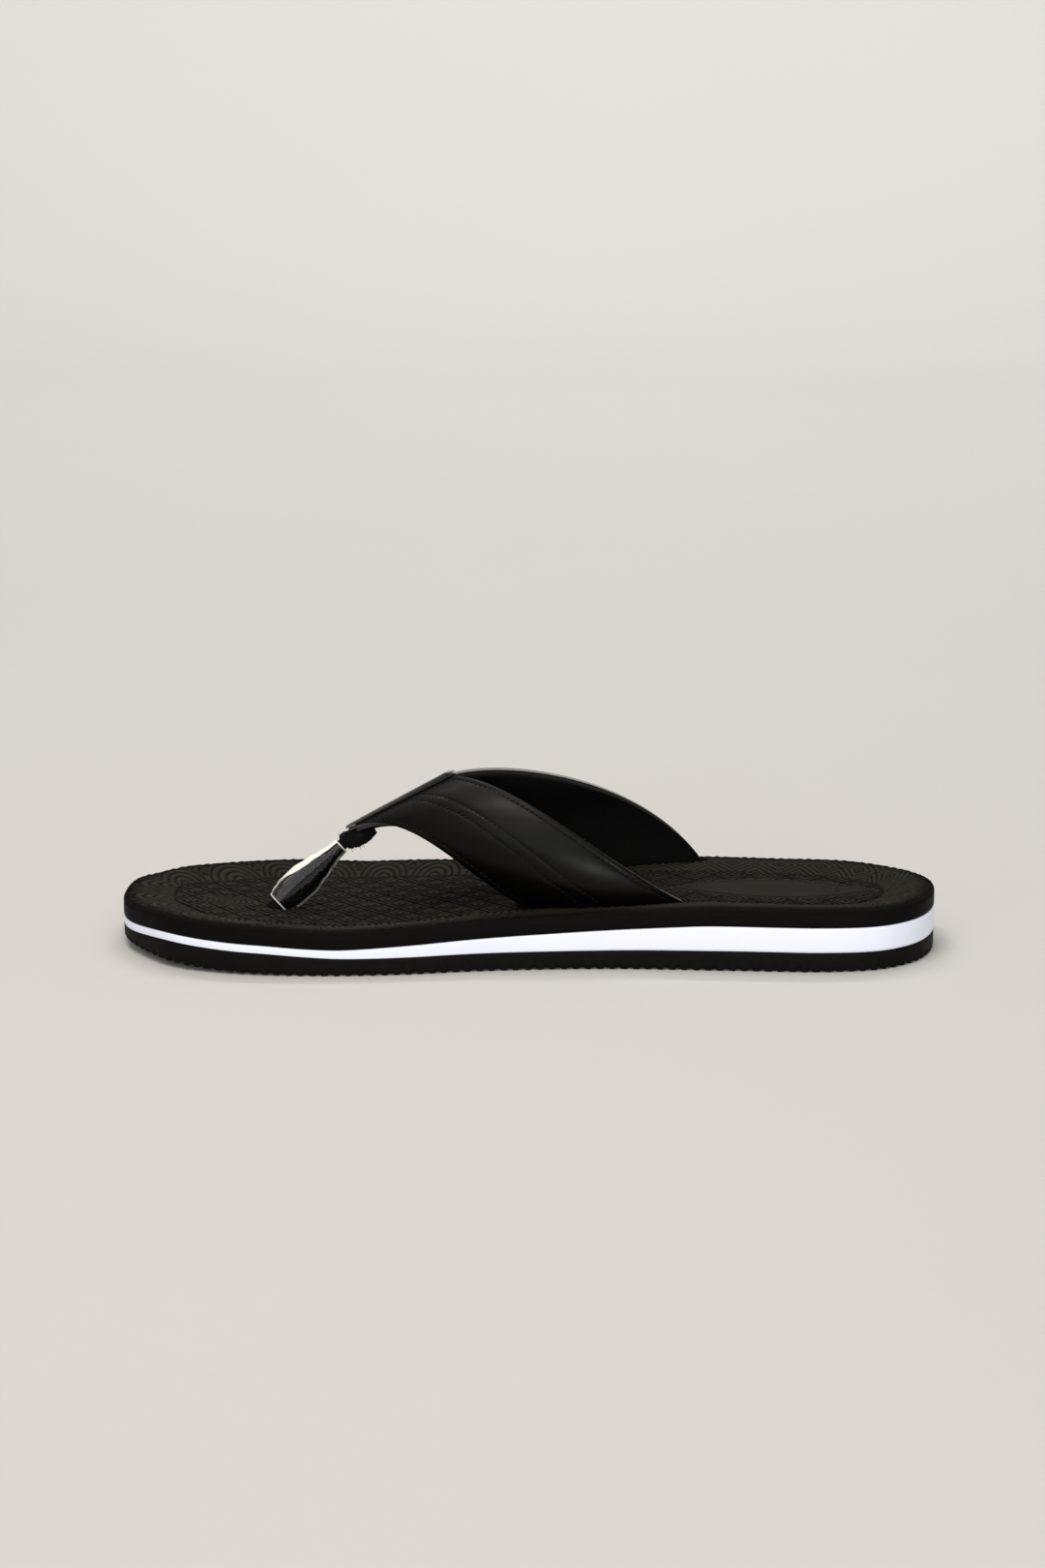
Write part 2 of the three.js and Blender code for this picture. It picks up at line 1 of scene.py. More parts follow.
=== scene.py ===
"""A right-foot thong sandal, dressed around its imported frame.

The sole is three plates that follow one measured outline, the strap is two leaves of three
layers each, and the toe post is a webbing in a loose clear sleeve. Lengths are in metres.
"""

import sys
import json
import logging
import math
from dataclasses import dataclass
from enum import Enum
from typing import Callable, Sequence

import bmesh
import bpy
import numpy as np
from mathutils import Matrix, Vector
from mathutils.kdtree import KDTree


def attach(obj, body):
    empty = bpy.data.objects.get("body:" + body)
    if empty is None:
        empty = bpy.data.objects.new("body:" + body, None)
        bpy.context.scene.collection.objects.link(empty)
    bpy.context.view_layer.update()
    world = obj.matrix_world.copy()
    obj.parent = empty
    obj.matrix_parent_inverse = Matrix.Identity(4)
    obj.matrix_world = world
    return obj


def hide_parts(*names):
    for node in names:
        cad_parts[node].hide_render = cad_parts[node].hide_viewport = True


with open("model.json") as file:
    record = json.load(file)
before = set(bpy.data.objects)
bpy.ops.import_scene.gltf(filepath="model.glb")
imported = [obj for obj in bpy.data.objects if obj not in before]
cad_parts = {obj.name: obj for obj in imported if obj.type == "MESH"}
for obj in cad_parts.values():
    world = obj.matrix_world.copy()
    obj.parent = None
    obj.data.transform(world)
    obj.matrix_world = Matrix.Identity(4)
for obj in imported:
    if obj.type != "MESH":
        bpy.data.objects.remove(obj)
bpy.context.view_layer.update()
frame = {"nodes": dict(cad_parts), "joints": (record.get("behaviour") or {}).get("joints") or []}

log = logging.getLogger("sandal")
MM = 0.001


class Side(Enum):
    """The two sides of the sandal; the value is the sign of Y on that side."""

    MEDIAL = -1
    LATERAL = 1


class Slot(Enum):
    """The record's material slots."""

    RUBBER = "rubber"
    FOAM = "foam"
    FOOTBED = "footbed"
    LEATHER = "strap_leather"
    PADDING = "padding"
    LINING = "lining"
    THREAD = "thread"
    WEBBING = "webbing"
    SLEEVE = "clear_sleeve"


# ------------------------------------------------------------------ small helpers
def smooth(t: np.ndarray) -> np.ndarray:
    """Eases from 0 to 1 as t goes from 0 to 1."""
    t = np.clip(t, 0.0, 1.0)
    return t * t * (3.0 - 2.0 * t)


def dent(distance: np.ndarray, width: float) -> np.ndarray:
    """A soft groove profile: 1 on the line, fading to 0 within about two widths."""
    return np.exp(-((distance / width) ** 2))


def smooth_row(values: np.ndarray, place: np.ndarray) -> np.ndarray:
    """Reads a row of evenly spaced values smoothly between its stations.

    Args:
        values: The value at each station.
        place: Where to read, counted in stations.

    Returns:
        The values at those places.
    """
    padded = np.concatenate(
        ([2 * values[0] - values[1]], values, [2 * values[-1] - values[-2]])
    )
    start = np.clip(np.floor(place).astype(int), 0, len(values) - 2)
    t = place - start
    a, b, c, d = (padded[start + k] for k in range(4))
    return 0.5 * (
        2 * b + (c - a) * t + (2 * a - 5 * b + 4 * c - d) * t**2 + (3 * b - a - 3 * c + d) * t**3
    )


def unit(vectors: np.ndarray) -> np.ndarray:
    """The vectors brought to length 1."""
    return vectors / np.maximum(np.linalg.norm(vectors, axis=-1, keepdims=True), 1e-12)


def put(verts: Sequence[bmesh.types.BMVert], points: np.ndarray) -> None:
    """Moves each vertex to its point."""
    for vert, point in zip(verts, points):
        vert.co = point


def ring_angles(count: int) -> np.ndarray:
    """Evenly spaced angles round a ring."""
    return np.arange(count) / count * 2 * np.pi


def oval(
    centre: np.ndarray, angle: np.ndarray, wide: np.ndarray, half: np.ndarray | float,
    across: np.ndarray, depth: np.ndarray | float,
) -> np.ndarray:
    """Points round a centre.

    Args:
        centre: The middle of the ring.
        angle: The angle of each point.
        wide: The direction of angle 0.
        half: How far the ring reaches along wide.
        across: The direction a quarter turn on.
        depth: How far the ring reaches along across.

    Returns:
        The points.
    """
    return (
        centre + np.outer(np.cos(angle) * half, wide) + np.outer(np.sin(angle) * depth, across)
    )


def plan_tree(points: np.ndarray) -> KDTree:
    """A tree that finds the nearest of some points in plan."""
    tree = KDTree(len(points))
    for i, point in enumerate(points):
        tree.insert((point[0], point[1], 0.0), i)
    tree.balance()
    return tree


def extrude_ring(
    bm: bmesh.types.BMesh, loop: Sequence[bmesh.types.BMEdge],
    order: Sequence[bmesh.types.BMVert],
) -> tuple[list[bmesh.types.BMEdge], list[bmesh.types.BMVert]]:
    """Extrudes a ring of edges in place.

    Args:
        bm: The mesh to build in.
        loop: The ring's edges.
        order: The ring's vertices, in the order of their points.

    Returns:
        The new ring's edges, and its vertices in the same order.
    """
    places = {vert.co.to_tuple(): i for i, vert in enumerate(order)}
    grown = bmesh.ops.extrude_edge_only(bm, edges=loop)["geom"]
    fresh = [g for g in grown if isinstance(g, bmesh.types.BMVert)]
    known = set(fresh)
    edges = [
        g for g in grown
        if isinstance(g, bmesh.types.BMEdge) and all(vert in known for vert in g.verts)
    ]
    return edges, sorted(fresh, key=lambda vert: places[vert.co.to_tuple()])


def loft(bm: bmesh.types.BMesh, rings: Sequence[np.ndarray], closed: bool = False) -> None:
    """Extrudes a ring through a row of rings.

    Args:
        bm: The mesh to build in.
        rings: Rings of points, all of one count.
        closed: Joins the last ring to the first; otherwise both ends are filled.
    """
    count = len(rings[0])
    verts = bmesh.ops.create_circle(bm, segments=count, radius=1.0)["verts"]
    put(verts, rings[0])
    first = list({edge for vert in verts for edge in vert.link_edges})
    loop, order = first, verts
    for ring in rings[1:]:
        loop, order = extrude_ring(bm, loop, order)
        put(order, ring)
    if closed:
        bmesh.ops.bridge_loops(bm, edges=first + loop)
    else:
        bmesh.ops.holes_fill(bm, edges=first + loop, sides=0)
    bmesh.ops.recalc_face_normals(bm, faces=bm.faces)


@dataclass
class Piece:
    """One finished piece: its mesh, its finishes and what it stands for."""

    name: str
    finishes: Sequence["Finish"]
    slot: Slot
    stands_for: Sequence[str] = ()
    body: str = "sandal"
    crease: float = 40.0

    def make(self, bm: bmesh.types.BMesh) -> bpy.types.Object:
        """Turns the bmesh into an object on its body.

        Args:
            bm: The finished shape in world place; it is freed.

        Returns:
            The object.
        """
        mesh = bpy.data.meshes.new(self.name)
        bm.to_mesh(mesh)
        bm.free()
        mesh.polygons.foreach_set("use_smooth", [True] * len(mesh.polygons))
        mesh.set_sharp_from_angle(angle=math.radians(self.crease))
        piece = bpy.data.objects.new(self.name, mesh)
        bpy.context.scene.collection.objects.link(piece)
        for finish in self.finishes:
            mesh.materials.append(finish.material())
        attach(piece, self.body)
        if self.stands_for:
            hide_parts(*self.stands_for)
        log.info("%s: %d faces", self.name, len(mesh.polygons))
        return piece


# ------------------------------------------------------------------ finishes
class Bench:
    """A material's node tree, with short ways to add and join nodes."""

    line_fade = (0.025, 0.07)
    noise_span = (0.3, 0.7)

    def __init__(self, name: str) -> None:
        """Starts a material with a plain shader."""
        self.made = bpy.data.materials.new(name)
        self.made.use_nodes = True
        self.tree = self.made.node_tree
        self.shader = self.tree.nodes["Principled BSDF"]
        self.place = self.add("ShaderNodeTexCoord").outputs["Object"]

    def add(self, kind: str, **settings: object) -> bpy.types.Node:
        """Adds a node.

        Args:
            kind: The node's type name.
            **settings: Properties of the node, or its input values by socket name.

        Returns:
            The node.
        """
        node = self.tree.nodes.new(kind)
        for key, value in settings.items():
            if hasattr(node, key):
                setattr(node, key, value)
            else:
                node.inputs[key.replace("_", " ")].default_value = value
        return node

    def join(self, source: bpy.types.NodeSocket, target: bpy.types.NodeSocket) -> None:
        """Joins an output to an input."""
        self.tree.links.new(source, target)

    def stretch(self, scale: Sequence[float], turn: float = 0.0) -> bpy.types.NodeSocket:
        """The piece's own coordinates, scaled and turned about Z."""
        mapping = self.add("ShaderNodeMapping")
        mapping.inputs["Scale"].default_value = scale
        mapping.inputs["Rotation"].default_value = (0.0, 0.0, turn)
        self.join(self.place, mapping.inputs["Vector"])
        return mapping.outputs["Vector"]

    def noise(
        self, grain: float, detail: float = 4.0, source: bpy.types.NodeSocket | None = None
    ) -> bpy.types.NodeSocket:
        """Noise whose features measure about grain metres."""
        node = self.add("ShaderNodeTexNoise", Scale=1.0 / grain, Detail=detail, Roughness=0.6)
        self.join(source or self.place, node.inputs["Vector"])
        return node.outputs["Fac"]

    def cells(self, grain: float, feature: str = "F1") -> bpy.types.NodeSocket:
        """Distance to scattered cell points, about grain metres apart."""
        node = self.add("ShaderNodeTexVoronoi", feature=feature, Scale=1.0 / grain)
        self.join(self.place, node.inputs["Vector"])
        return node.outputs["Distance"]

    def ramp(
        self, source: bpy.types.NodeSocket, low: float, high: float, out: Sequence[float]
    ) -> bpy.types.NodeSocket:
        """Maps a value from low..high to out[0]..out[1]."""
        node = self.add("ShaderNodeMapRange")
        node.inputs["From Min"].default_value = low
        node.inputs["From Max"].default_value = high
        node.inputs["To Min"].default_value = out[0]
        node.inputs["To Max"].default_value = out[1]
        self.join(source, node.inputs["Value"])
        return node.outputs["Result"]

    def blend(
        self, amount: bpy.types.NodeSocket, first: Sequence[float], second: Sequence[float]
    ) -> bpy.types.NodeSocket:
        """A colour between two colours."""
        node = self.add("ShaderNodeMix", data_type="RGBA")
        node.inputs[6].default_value = (*first, 1.0)
        node.inputs[7].default_value = (*second, 1.0)
        self.join(amount, node.inputs["Factor"])
        return node.outputs[2]

    def calc(
        self, operation: str, first: bpy.types.NodeSocket | float,
        second: bpy.types.NodeSocket | float = 0.0,
    ) -> bpy.types.NodeSocket:
        """Arithmetic on values or plain numbers."""
        node = self.add("ShaderNodeMath", operation=operation)
        for value, socket in zip((first, second), node.inputs):
            if isinstance(value, float):
                socket.default_value = value
            else:
                self.join(value, socket)
        return node.outputs[0]

    def diamond_lines(self, size: Sequence[float], rings: int) -> bpy.types.NodeSocket:
        """Nested diamonds in plan: 1 on a line, 0 between lines.

        Args:
            size: Half the width and half the height of a diamond, in metres.
            rings: How many outlines lie between a diamond's border and its centre.

        Returns:
            The line strength.
        """
        parts = self.add("ShaderNodeSeparateXYZ")
        self.join(self.place, parts.inputs[0])
        x = self.calc("MULTIPLY", parts.outputs[0], 0.5 / size[0])
        y = self.calc("MULTIPLY", parts.outputs[1], 0.5 / size[1])
        away = []
        for operation in ("ADD", "SUBTRACT"):
            cell = self.calc("FRACT", self.calc(operation, x, y))
            away.append(self.calc("ABSOLUTE", self.calc("SUBTRACT", cell, 0.5)))
        edge = self.calc("SUBTRACT", 0.5, self.calc("MAXIMUM", away[0], away[1]))
        near = self.calc("PINGPONG", edge, 0.25 / (rings + 1))
        return self.ramp(near, *self.line_fade, (1.0, 0.0))

    def attribute(self, name: str) -> bpy.types.NodeSocket:
        """A value stored on the piece's own vertices."""
        return self.add("ShaderNodeAttribute", attribute_name=name).outputs["Fac"]

    def bump(self, height: bpy.types.NodeSocket, depth: float, strength: float = 1.0) -> None:
        """Adds a bump of that depth in metres over any bump that is there."""
        node = self.add("ShaderNodeBump", Strength=strength, Distance=depth)
        self.join(height, node.inputs["Height"])
        under = self.shader.inputs["Normal"]
        if under.is_linked:
            self.join(under.links[0].from_socket, node.inputs["Normal"])
        self.join(node.outputs["Normal"], under)

    def colour(self, socket: bpy.types.NodeSocket) -> None:
        """Drives the base colour."""
        self.join(socket, self.shader.inputs["Base Color"])

    def gloss(self, socket: bpy.types.NodeSocket) -> None:
        """Drives the roughness."""
        self.join(socket, self.shader.inputs["Roughness"])

    def uneven_gloss(self, noise: bpy.types.NodeSocket, rough: Sequence[float]) -> None:
        """Lets the roughness wander between two values."""
        self.gloss(self.ramp(noise, *self.noise_span, rough))


@dataclass(frozen=True)
class Finish:
    """A finish: a name, its two colours and how rough it is."""

    name: str
    dark: tuple[float, float, float]
    light: tuple[float, float, float]
    rough: tuple[float, float] = (0.5, 0.6)
    shine: float = 0.15

    def material(self) -> bpy.types.Material:
        """The material, made once and shared."""
        found = bpy.data.materials.get(self.name)
        if found:
            return found
        bench = Bench(self.name)
        bench.shader.inputs["Specular IOR Level"].default_value = self.shine
        self.dress(bench)
        return bench.made

    def dress(self, bench: Bench) -> None:
        """Builds the nodes; each finish gives its own."""
        raise NotImplementedError


# half the length and half the width of the diamonds pressed into the footbed
FORE_DIAMOND = (5.6 * MM, 6.4 * MM)
HEEL_DIAMOND = (6.5 * MM, 8.0 * MM)


@dataclass(frozen=True)
class MouldedFoam(Finish):
    """Black moulded footbed foam: raised pattern rubbed smooth, grooves dull and darkened by
    painted shade.
    """

    line_shade: float = 0.85
    line_depth: float = 0.3 * MM
    wear: float = 0.16

    def dress(self, bench: Bench) -> None:
        """Follows the values stored on the vertices: rubbed gloss, and painted shade in the
        grooves, pits and along the rim.
        """
        relief = bench.attribute("relief")
        worn = bench.noise(14 * MM, 5.0)
        fore, heel = bench.attribute("fore"), bench.attribute("heel")
        fine = bench.calc(
            "ADD",
            bench.calc("MULTIPLY", fore, bench.diamond_lines(FORE_DIAMOND, 1)),
            bench.calc("MULTIPLY", heel, bench.diamond_lines(HEEL_DIAMOND, 2)),
        )
        # the fine diamond lines are darkened in colour: painted shade in their grooves
        relief = bench.calc("SUBTRACT", relief, bench.calc("MULTIPLY", fine, self.line_shade))
        relief = bench.calc("MAXIMUM", relief, 0.0)
        bench.colour(bench.blend(relief, self.dark, self.light))
        bench.bump(bench.calc("SUBTRACT", 1.0, fine), self.line_depth, 0.8)
        rubbed = bench.ramp(relief, 0.0, 1.0, self.rough[::-1])
        mixed = bench.add("ShaderNodeMath", operation="MULTIPLY_ADD")
        bench.join(worn, mixed.inputs[0])
        mixed.inputs[1].default_value = self.wear
        bench.join(rubbed, mixed.inputs[2])
        bench.gloss(mixed.outputs[0])
        bench.bump(bench.noise(0.9 * MM, 3.0), 0.05 * MM, 0.7)
        bench.bump(bench.cells(0.5 * MM), 0.03 * MM, 0.5)


@dataclass(frozen=True)
class WhiteFoam(Finish):
    """White closed-cell foam with fine skin pores and faint handling marks."""

    def dress(self, bench: Bench) -> None:
        """Fine pores, a slight mottling and soft depth."""
        bench.colour(bench.blend(bench.noise(22 * MM, 3.0), self.dark, self.light))
        bench.uneven_gloss(bench.noise(4 * MM), self.rough)
        bench.bump(bench.cells(0.45 * MM), 0.03 * MM, 0.5)
        bench.bump(bench.noise(2.5 * MM), 0.06 * MM, 0.3)
        bench.shader.inputs["Subsurface Weight"].default_value = 0.08
        bench.shader.inputs["Subsurface Radius"].default_value = (0.004, 0.004, 0.004)


@dataclass(frozen=True)
class BlackRubber(Finish):
    """Black sole rubber with a mould-matt skin and a little cloudy dust."""

    def dress(self, bench: Bench) -> None:
        """Fine grain, cloudy dust and uneven gloss."""
        bench.colour(bench.blend(bench.noise(9 * MM, 6.0), self.dark, self.light))
        bench.uneven_gloss(bench.noise(3 * MM), self.rough)
        bench.bump(bench.noise(0.7 * MM, 4.0), 0.05 * MM, 0.8)
        bench.bump(bench.noise(5 * MM, 2.0), 0.12 * MM, 0.35)


@dataclass(frozen=True)
class StrapLeather(Finish):
    """Smooth coated synthetic leather: satin, with a fine pebble grain."""

    def dress(self, bench: Bench) -> None:
        """Pebble grain, faint creases and a slightly uneven coat."""
        bench.colour(bench.blend(bench.noise(18 * MM, 4.0), self.dark, self.light))
        bench.uneven_gloss(bench.noise(6 * MM, 5.0), self.rough)
        bench.bump(bench.cells(0.55 * MM, "DISTANCE_TO_EDGE"), 0.02 * MM, 0.55)
        bench.bump(bench.noise(1.8 * MM, 4.0), 0.04 * MM, 0.35)
        bench.bump(bench.noise(12 * MM, 2.0), 0.25 * MM, 0.3)


@dataclass(frozen=True)
class CutEdge(Finish):
    """The raw cut edge of coated leather and its foam: a fibrous grey-brown."""

    def dress(self, bench: Bench) -> None:
        """Fibres that run along the cut, in uneven shades."""
        bench.colour(bench.blend(bench.noise(0.8 * MM, 6.0), self.dark, self.light))
        bench.uneven_gloss(bench.noise(1 * MM), self.rough)
        bench.bump(bench.noise(0.4 * MM, 5.0), 0.08 * MM, 0.9)


@dataclass(frozen=True)
class Cloth(Finish):
    """A fine woven textile that follows the piece's own UV map, in metres."""

    pitch: float = 0.7 * MM
    diagonal: bool = False
    twill_turn: float = 0.9
    weave_span: tuple[float, float] = (0.2, 1.4)

    def dress(self, bench: Bench) -> None:
        """Two crossed thread systems, or one diagonal twill, with a soft nap."""
        uv = bench.add("ShaderNodeTexCoord").outputs["UV"]
        turn = self.twill_turn if self.diagonal else 0.0
        threads = []
        for direction in ("X", "Y"):
            mapping = bench.add("ShaderNodeMapping")
            mapping.inputs["Rotation"].default_value = (0, 0, turn)
            bench.join(uv, mapping.inputs["Vector"])
            wave = bench.add(
                "ShaderNodeTexWave", bands_direction=direction, Scale=0.314 / self.pitch,
                Distortion=0.3, Detail=1.0,
            )
            bench.join(mapping.outputs["Vector"], wave.inputs["Vector"])
            threads.append(wave.outputs["Fac"])
        both = bench.add("ShaderNodeMath", operation="MULTIPLY_ADD")
        bench.join(threads[0], both.inputs[0])
        both.inputs[1].default_value = 0.9 if self.diagonal else 0.5
        bench.join(threads[1], both.inputs[2])
        shade = bench.ramp(both.outputs[0], *self.weave_span, (0.0, 1.0))
        bench.colour(bench.blend(shade, self.dark, self.light))
        bench.gloss(bench.ramp(both.outputs[0], *self.weave_span, self.rough[::-1]))
        bench.bump(both.outputs[0], 0.12 * MM, 0.8)
        bench.bump(bench.noise(0.25 * MM, 3.0), 0.04 * MM, 0.6)
        bench.shader.inputs["Sheen Weight"].default_value = 0.02
        bench.shader.inputs["Sheen Roughness"].default_value = 0.4


@dataclass(frozen=True)
class SewingThread(Finish):
    """Bonded black sewing thread with a tight twist."""

    twist: float = 700.0

    def dress(self, bench: Bench) -> None:
        """Twisted strands as fine slanted ribs."""
        wave = bench.add(
            "ShaderNodeTexWave", bands_direction="DIAGONAL", Scale=self.twist, Distortion=0.5
        )
        bench.join(bench.place, wave.inputs["Vector"])
        bench.colour(bench.blend(wave.outputs["Fac"], self.dark, self.light))
        bench.uneven_gloss(bench.noise(1 * MM), self.rough)
        bench.bump(wave.outputs["Fac"], 0.05 * MM, 0.7)


@dataclass(frozen=True)
class ClearPlastic(Finish):
    """Clear soft plastic tube, with a painted pale yellow glow along its folds and at its ends that
    stands in for light refracted through it.
    """

    def dress(self, bench: Bench) -> None:
        """A see-through body with slight drawing lines in its gloss."""
        shader = bench.shader
        painted_glow = bench.attribute("painted_glow")
        # painted_glow turns the plastic opaque pale yellow: painted glow of refracted light along
        # the folds and at the cut ends
        bench.colour(bench.blend(painted_glow, self.light, self.dark))
        bench.join(bench.ramp(painted_glow, 0.0, 1.0, (1.0, 0.25)), shader.inputs["Transmission Weight"])
        shader.inputs["IOR"].default_value = 1.3
        bench.uneven_gloss(bench.noise(3 * MM, 2.0), self.rough)
        bench.bump(bench.noise(5 * MM, 2.0), 0.03 * MM, 0.2)


@dataclass(frozen=True)
class HardPlastic(Finish):
    """Plain black moulded plastic."""

    def dress(self, bench: Bench) -> None:
        """A fine spark-eroded mould texture."""
        bench.colour(bench.blend(bench.noise(5 * MM), self.dark, self.light))
        bench.uneven_gloss(bench.noise(0.6 * MM), self.rough)
        bench.bump(bench.noise(0.4 * MM), 0.03 * MM, 0.6)


@dataclass(frozen=True)
class StudioPaper(Finish):
    """The pale floor."""

    def dress(self, bench: Bench) -> None:
        """Near-white paper with almost no texture."""
        bench.colour(bench.blend(bench.noise(0.4, 2.0), self.dark, self.light))
        bench.shader.inputs["Roughness"].default_value = 0.9


FOOTBED_FOAM = MouldedFoam(
    "footbed_foam", (0.0006, 0.0005, 0.0004), (0.023, 0.02, 0.0145), (0.5, 0.75), 0.05
)
WALL_FOAM = BlackRubber(
    "footbed_wall_foam", (0.0032, 0.0031, 0.0026), (0.0044, 0.0042, 0.0036), (0.5, 0.6), 0.03
)
MIDSOLE_FOAM = WhiteFoam(
    "midsole_foam", (0.79, 0.83, 0.95), (0.84, 0.875, 0.985), (0.5, 0.62), 0.3
)
SOLE_RUBBER = BlackRubber(
    "sole_rubber", (0.0036, 0.0032, 0.0031), (0.0064, 0.0057, 0.0054), (0.5, 0.65), 0.05
)
STRAP_FACE = StrapLeather(
    "strap_leather_face", (0.0011, 0.0009, 0.0007), (0.002, 0.0016, 0.0012), (0.32, 0.4), 0.12
)
STRAP_EDGE = CutEdge(
    "strap_leather_edge", (0.03, 0.028, 0.026), (0.11, 0.104, 0.098), (0.7, 0.85), 0.2
)
# the rear cut edge's finish, lighter than the front edge's: painted highlight
STRAP_REAR_HIGHLIGHT = CutEdge(
    "strap_rear_edge", (0.12, 0.115, 0.108), (0.3, 0.29, 0.275), (0.7, 0.85), 0.2
)
# the ridge band's square end, a much lighter copy of the cut edge: painted highlight
STRAP_TIP_HIGHLIGHT = CutEdge(
    "strap_band_end", (0.24, 0.23, 0.22), (0.42, 0.41, 0.39), (0.7, 0.85), 0.2
)
# the leather's back, also laid on the foam's rear cut edge as painted shade
STRAP_BACK_AND_SHADE = CutEdge(
    "strap_leather_back", (0.006, 0.006, 0.006), (0.011, 0.011, 0.01), (0.8, 0.9), 0.1
)
FOAM_EDGE = CutEdge(
    "strap_foam", (0.028, 0.024, 0.02), (0.075, 0.067, 0.06), (0.75, 0.9), 0.1
)
LINING_CLOTH = Cloth(
    "strap_lining_cloth", (0.0012, 0.0012, 0.0012), (0.0035, 0.0034, 0.0033), (0.75, 0.95), 0.04
)
BLACK_THREAD = SewingThread(
    "black_thread", (0.001, 0.001, 0.001), (0.004, 0.0038, 0.0035), (0.45, 0.6), 0.12
)
WEBBING_CLOTH = Cloth(
    "toe_webbing_cloth", (0.0004, 0.0004, 0.0005), (0.006, 0.0061, 0.007), (0.5, 0.8), 0.06,
    pitch=0.5 * MM, diagonal=True,
)
CLEAR_TUBE = ClearPlastic(
    "clear_tube", (0.95, 0.94, 0.86), (0.985, 0.98, 0.955), (0.02, 0.06), 0.5
)
ANCHOR_PLASTIC = HardPlastic(
    "anchor_plastic", (0.012, 0.012, 0.012), (0.02, 0.02, 0.02), (0.4, 0.55), 0.3
)
FLOOR_PAPER = StudioPaper(
    "studio_paper", (0.505, 0.495, 0.474), (0.52, 0.51, 0.489), (0.9, 0.9), 0.05
)


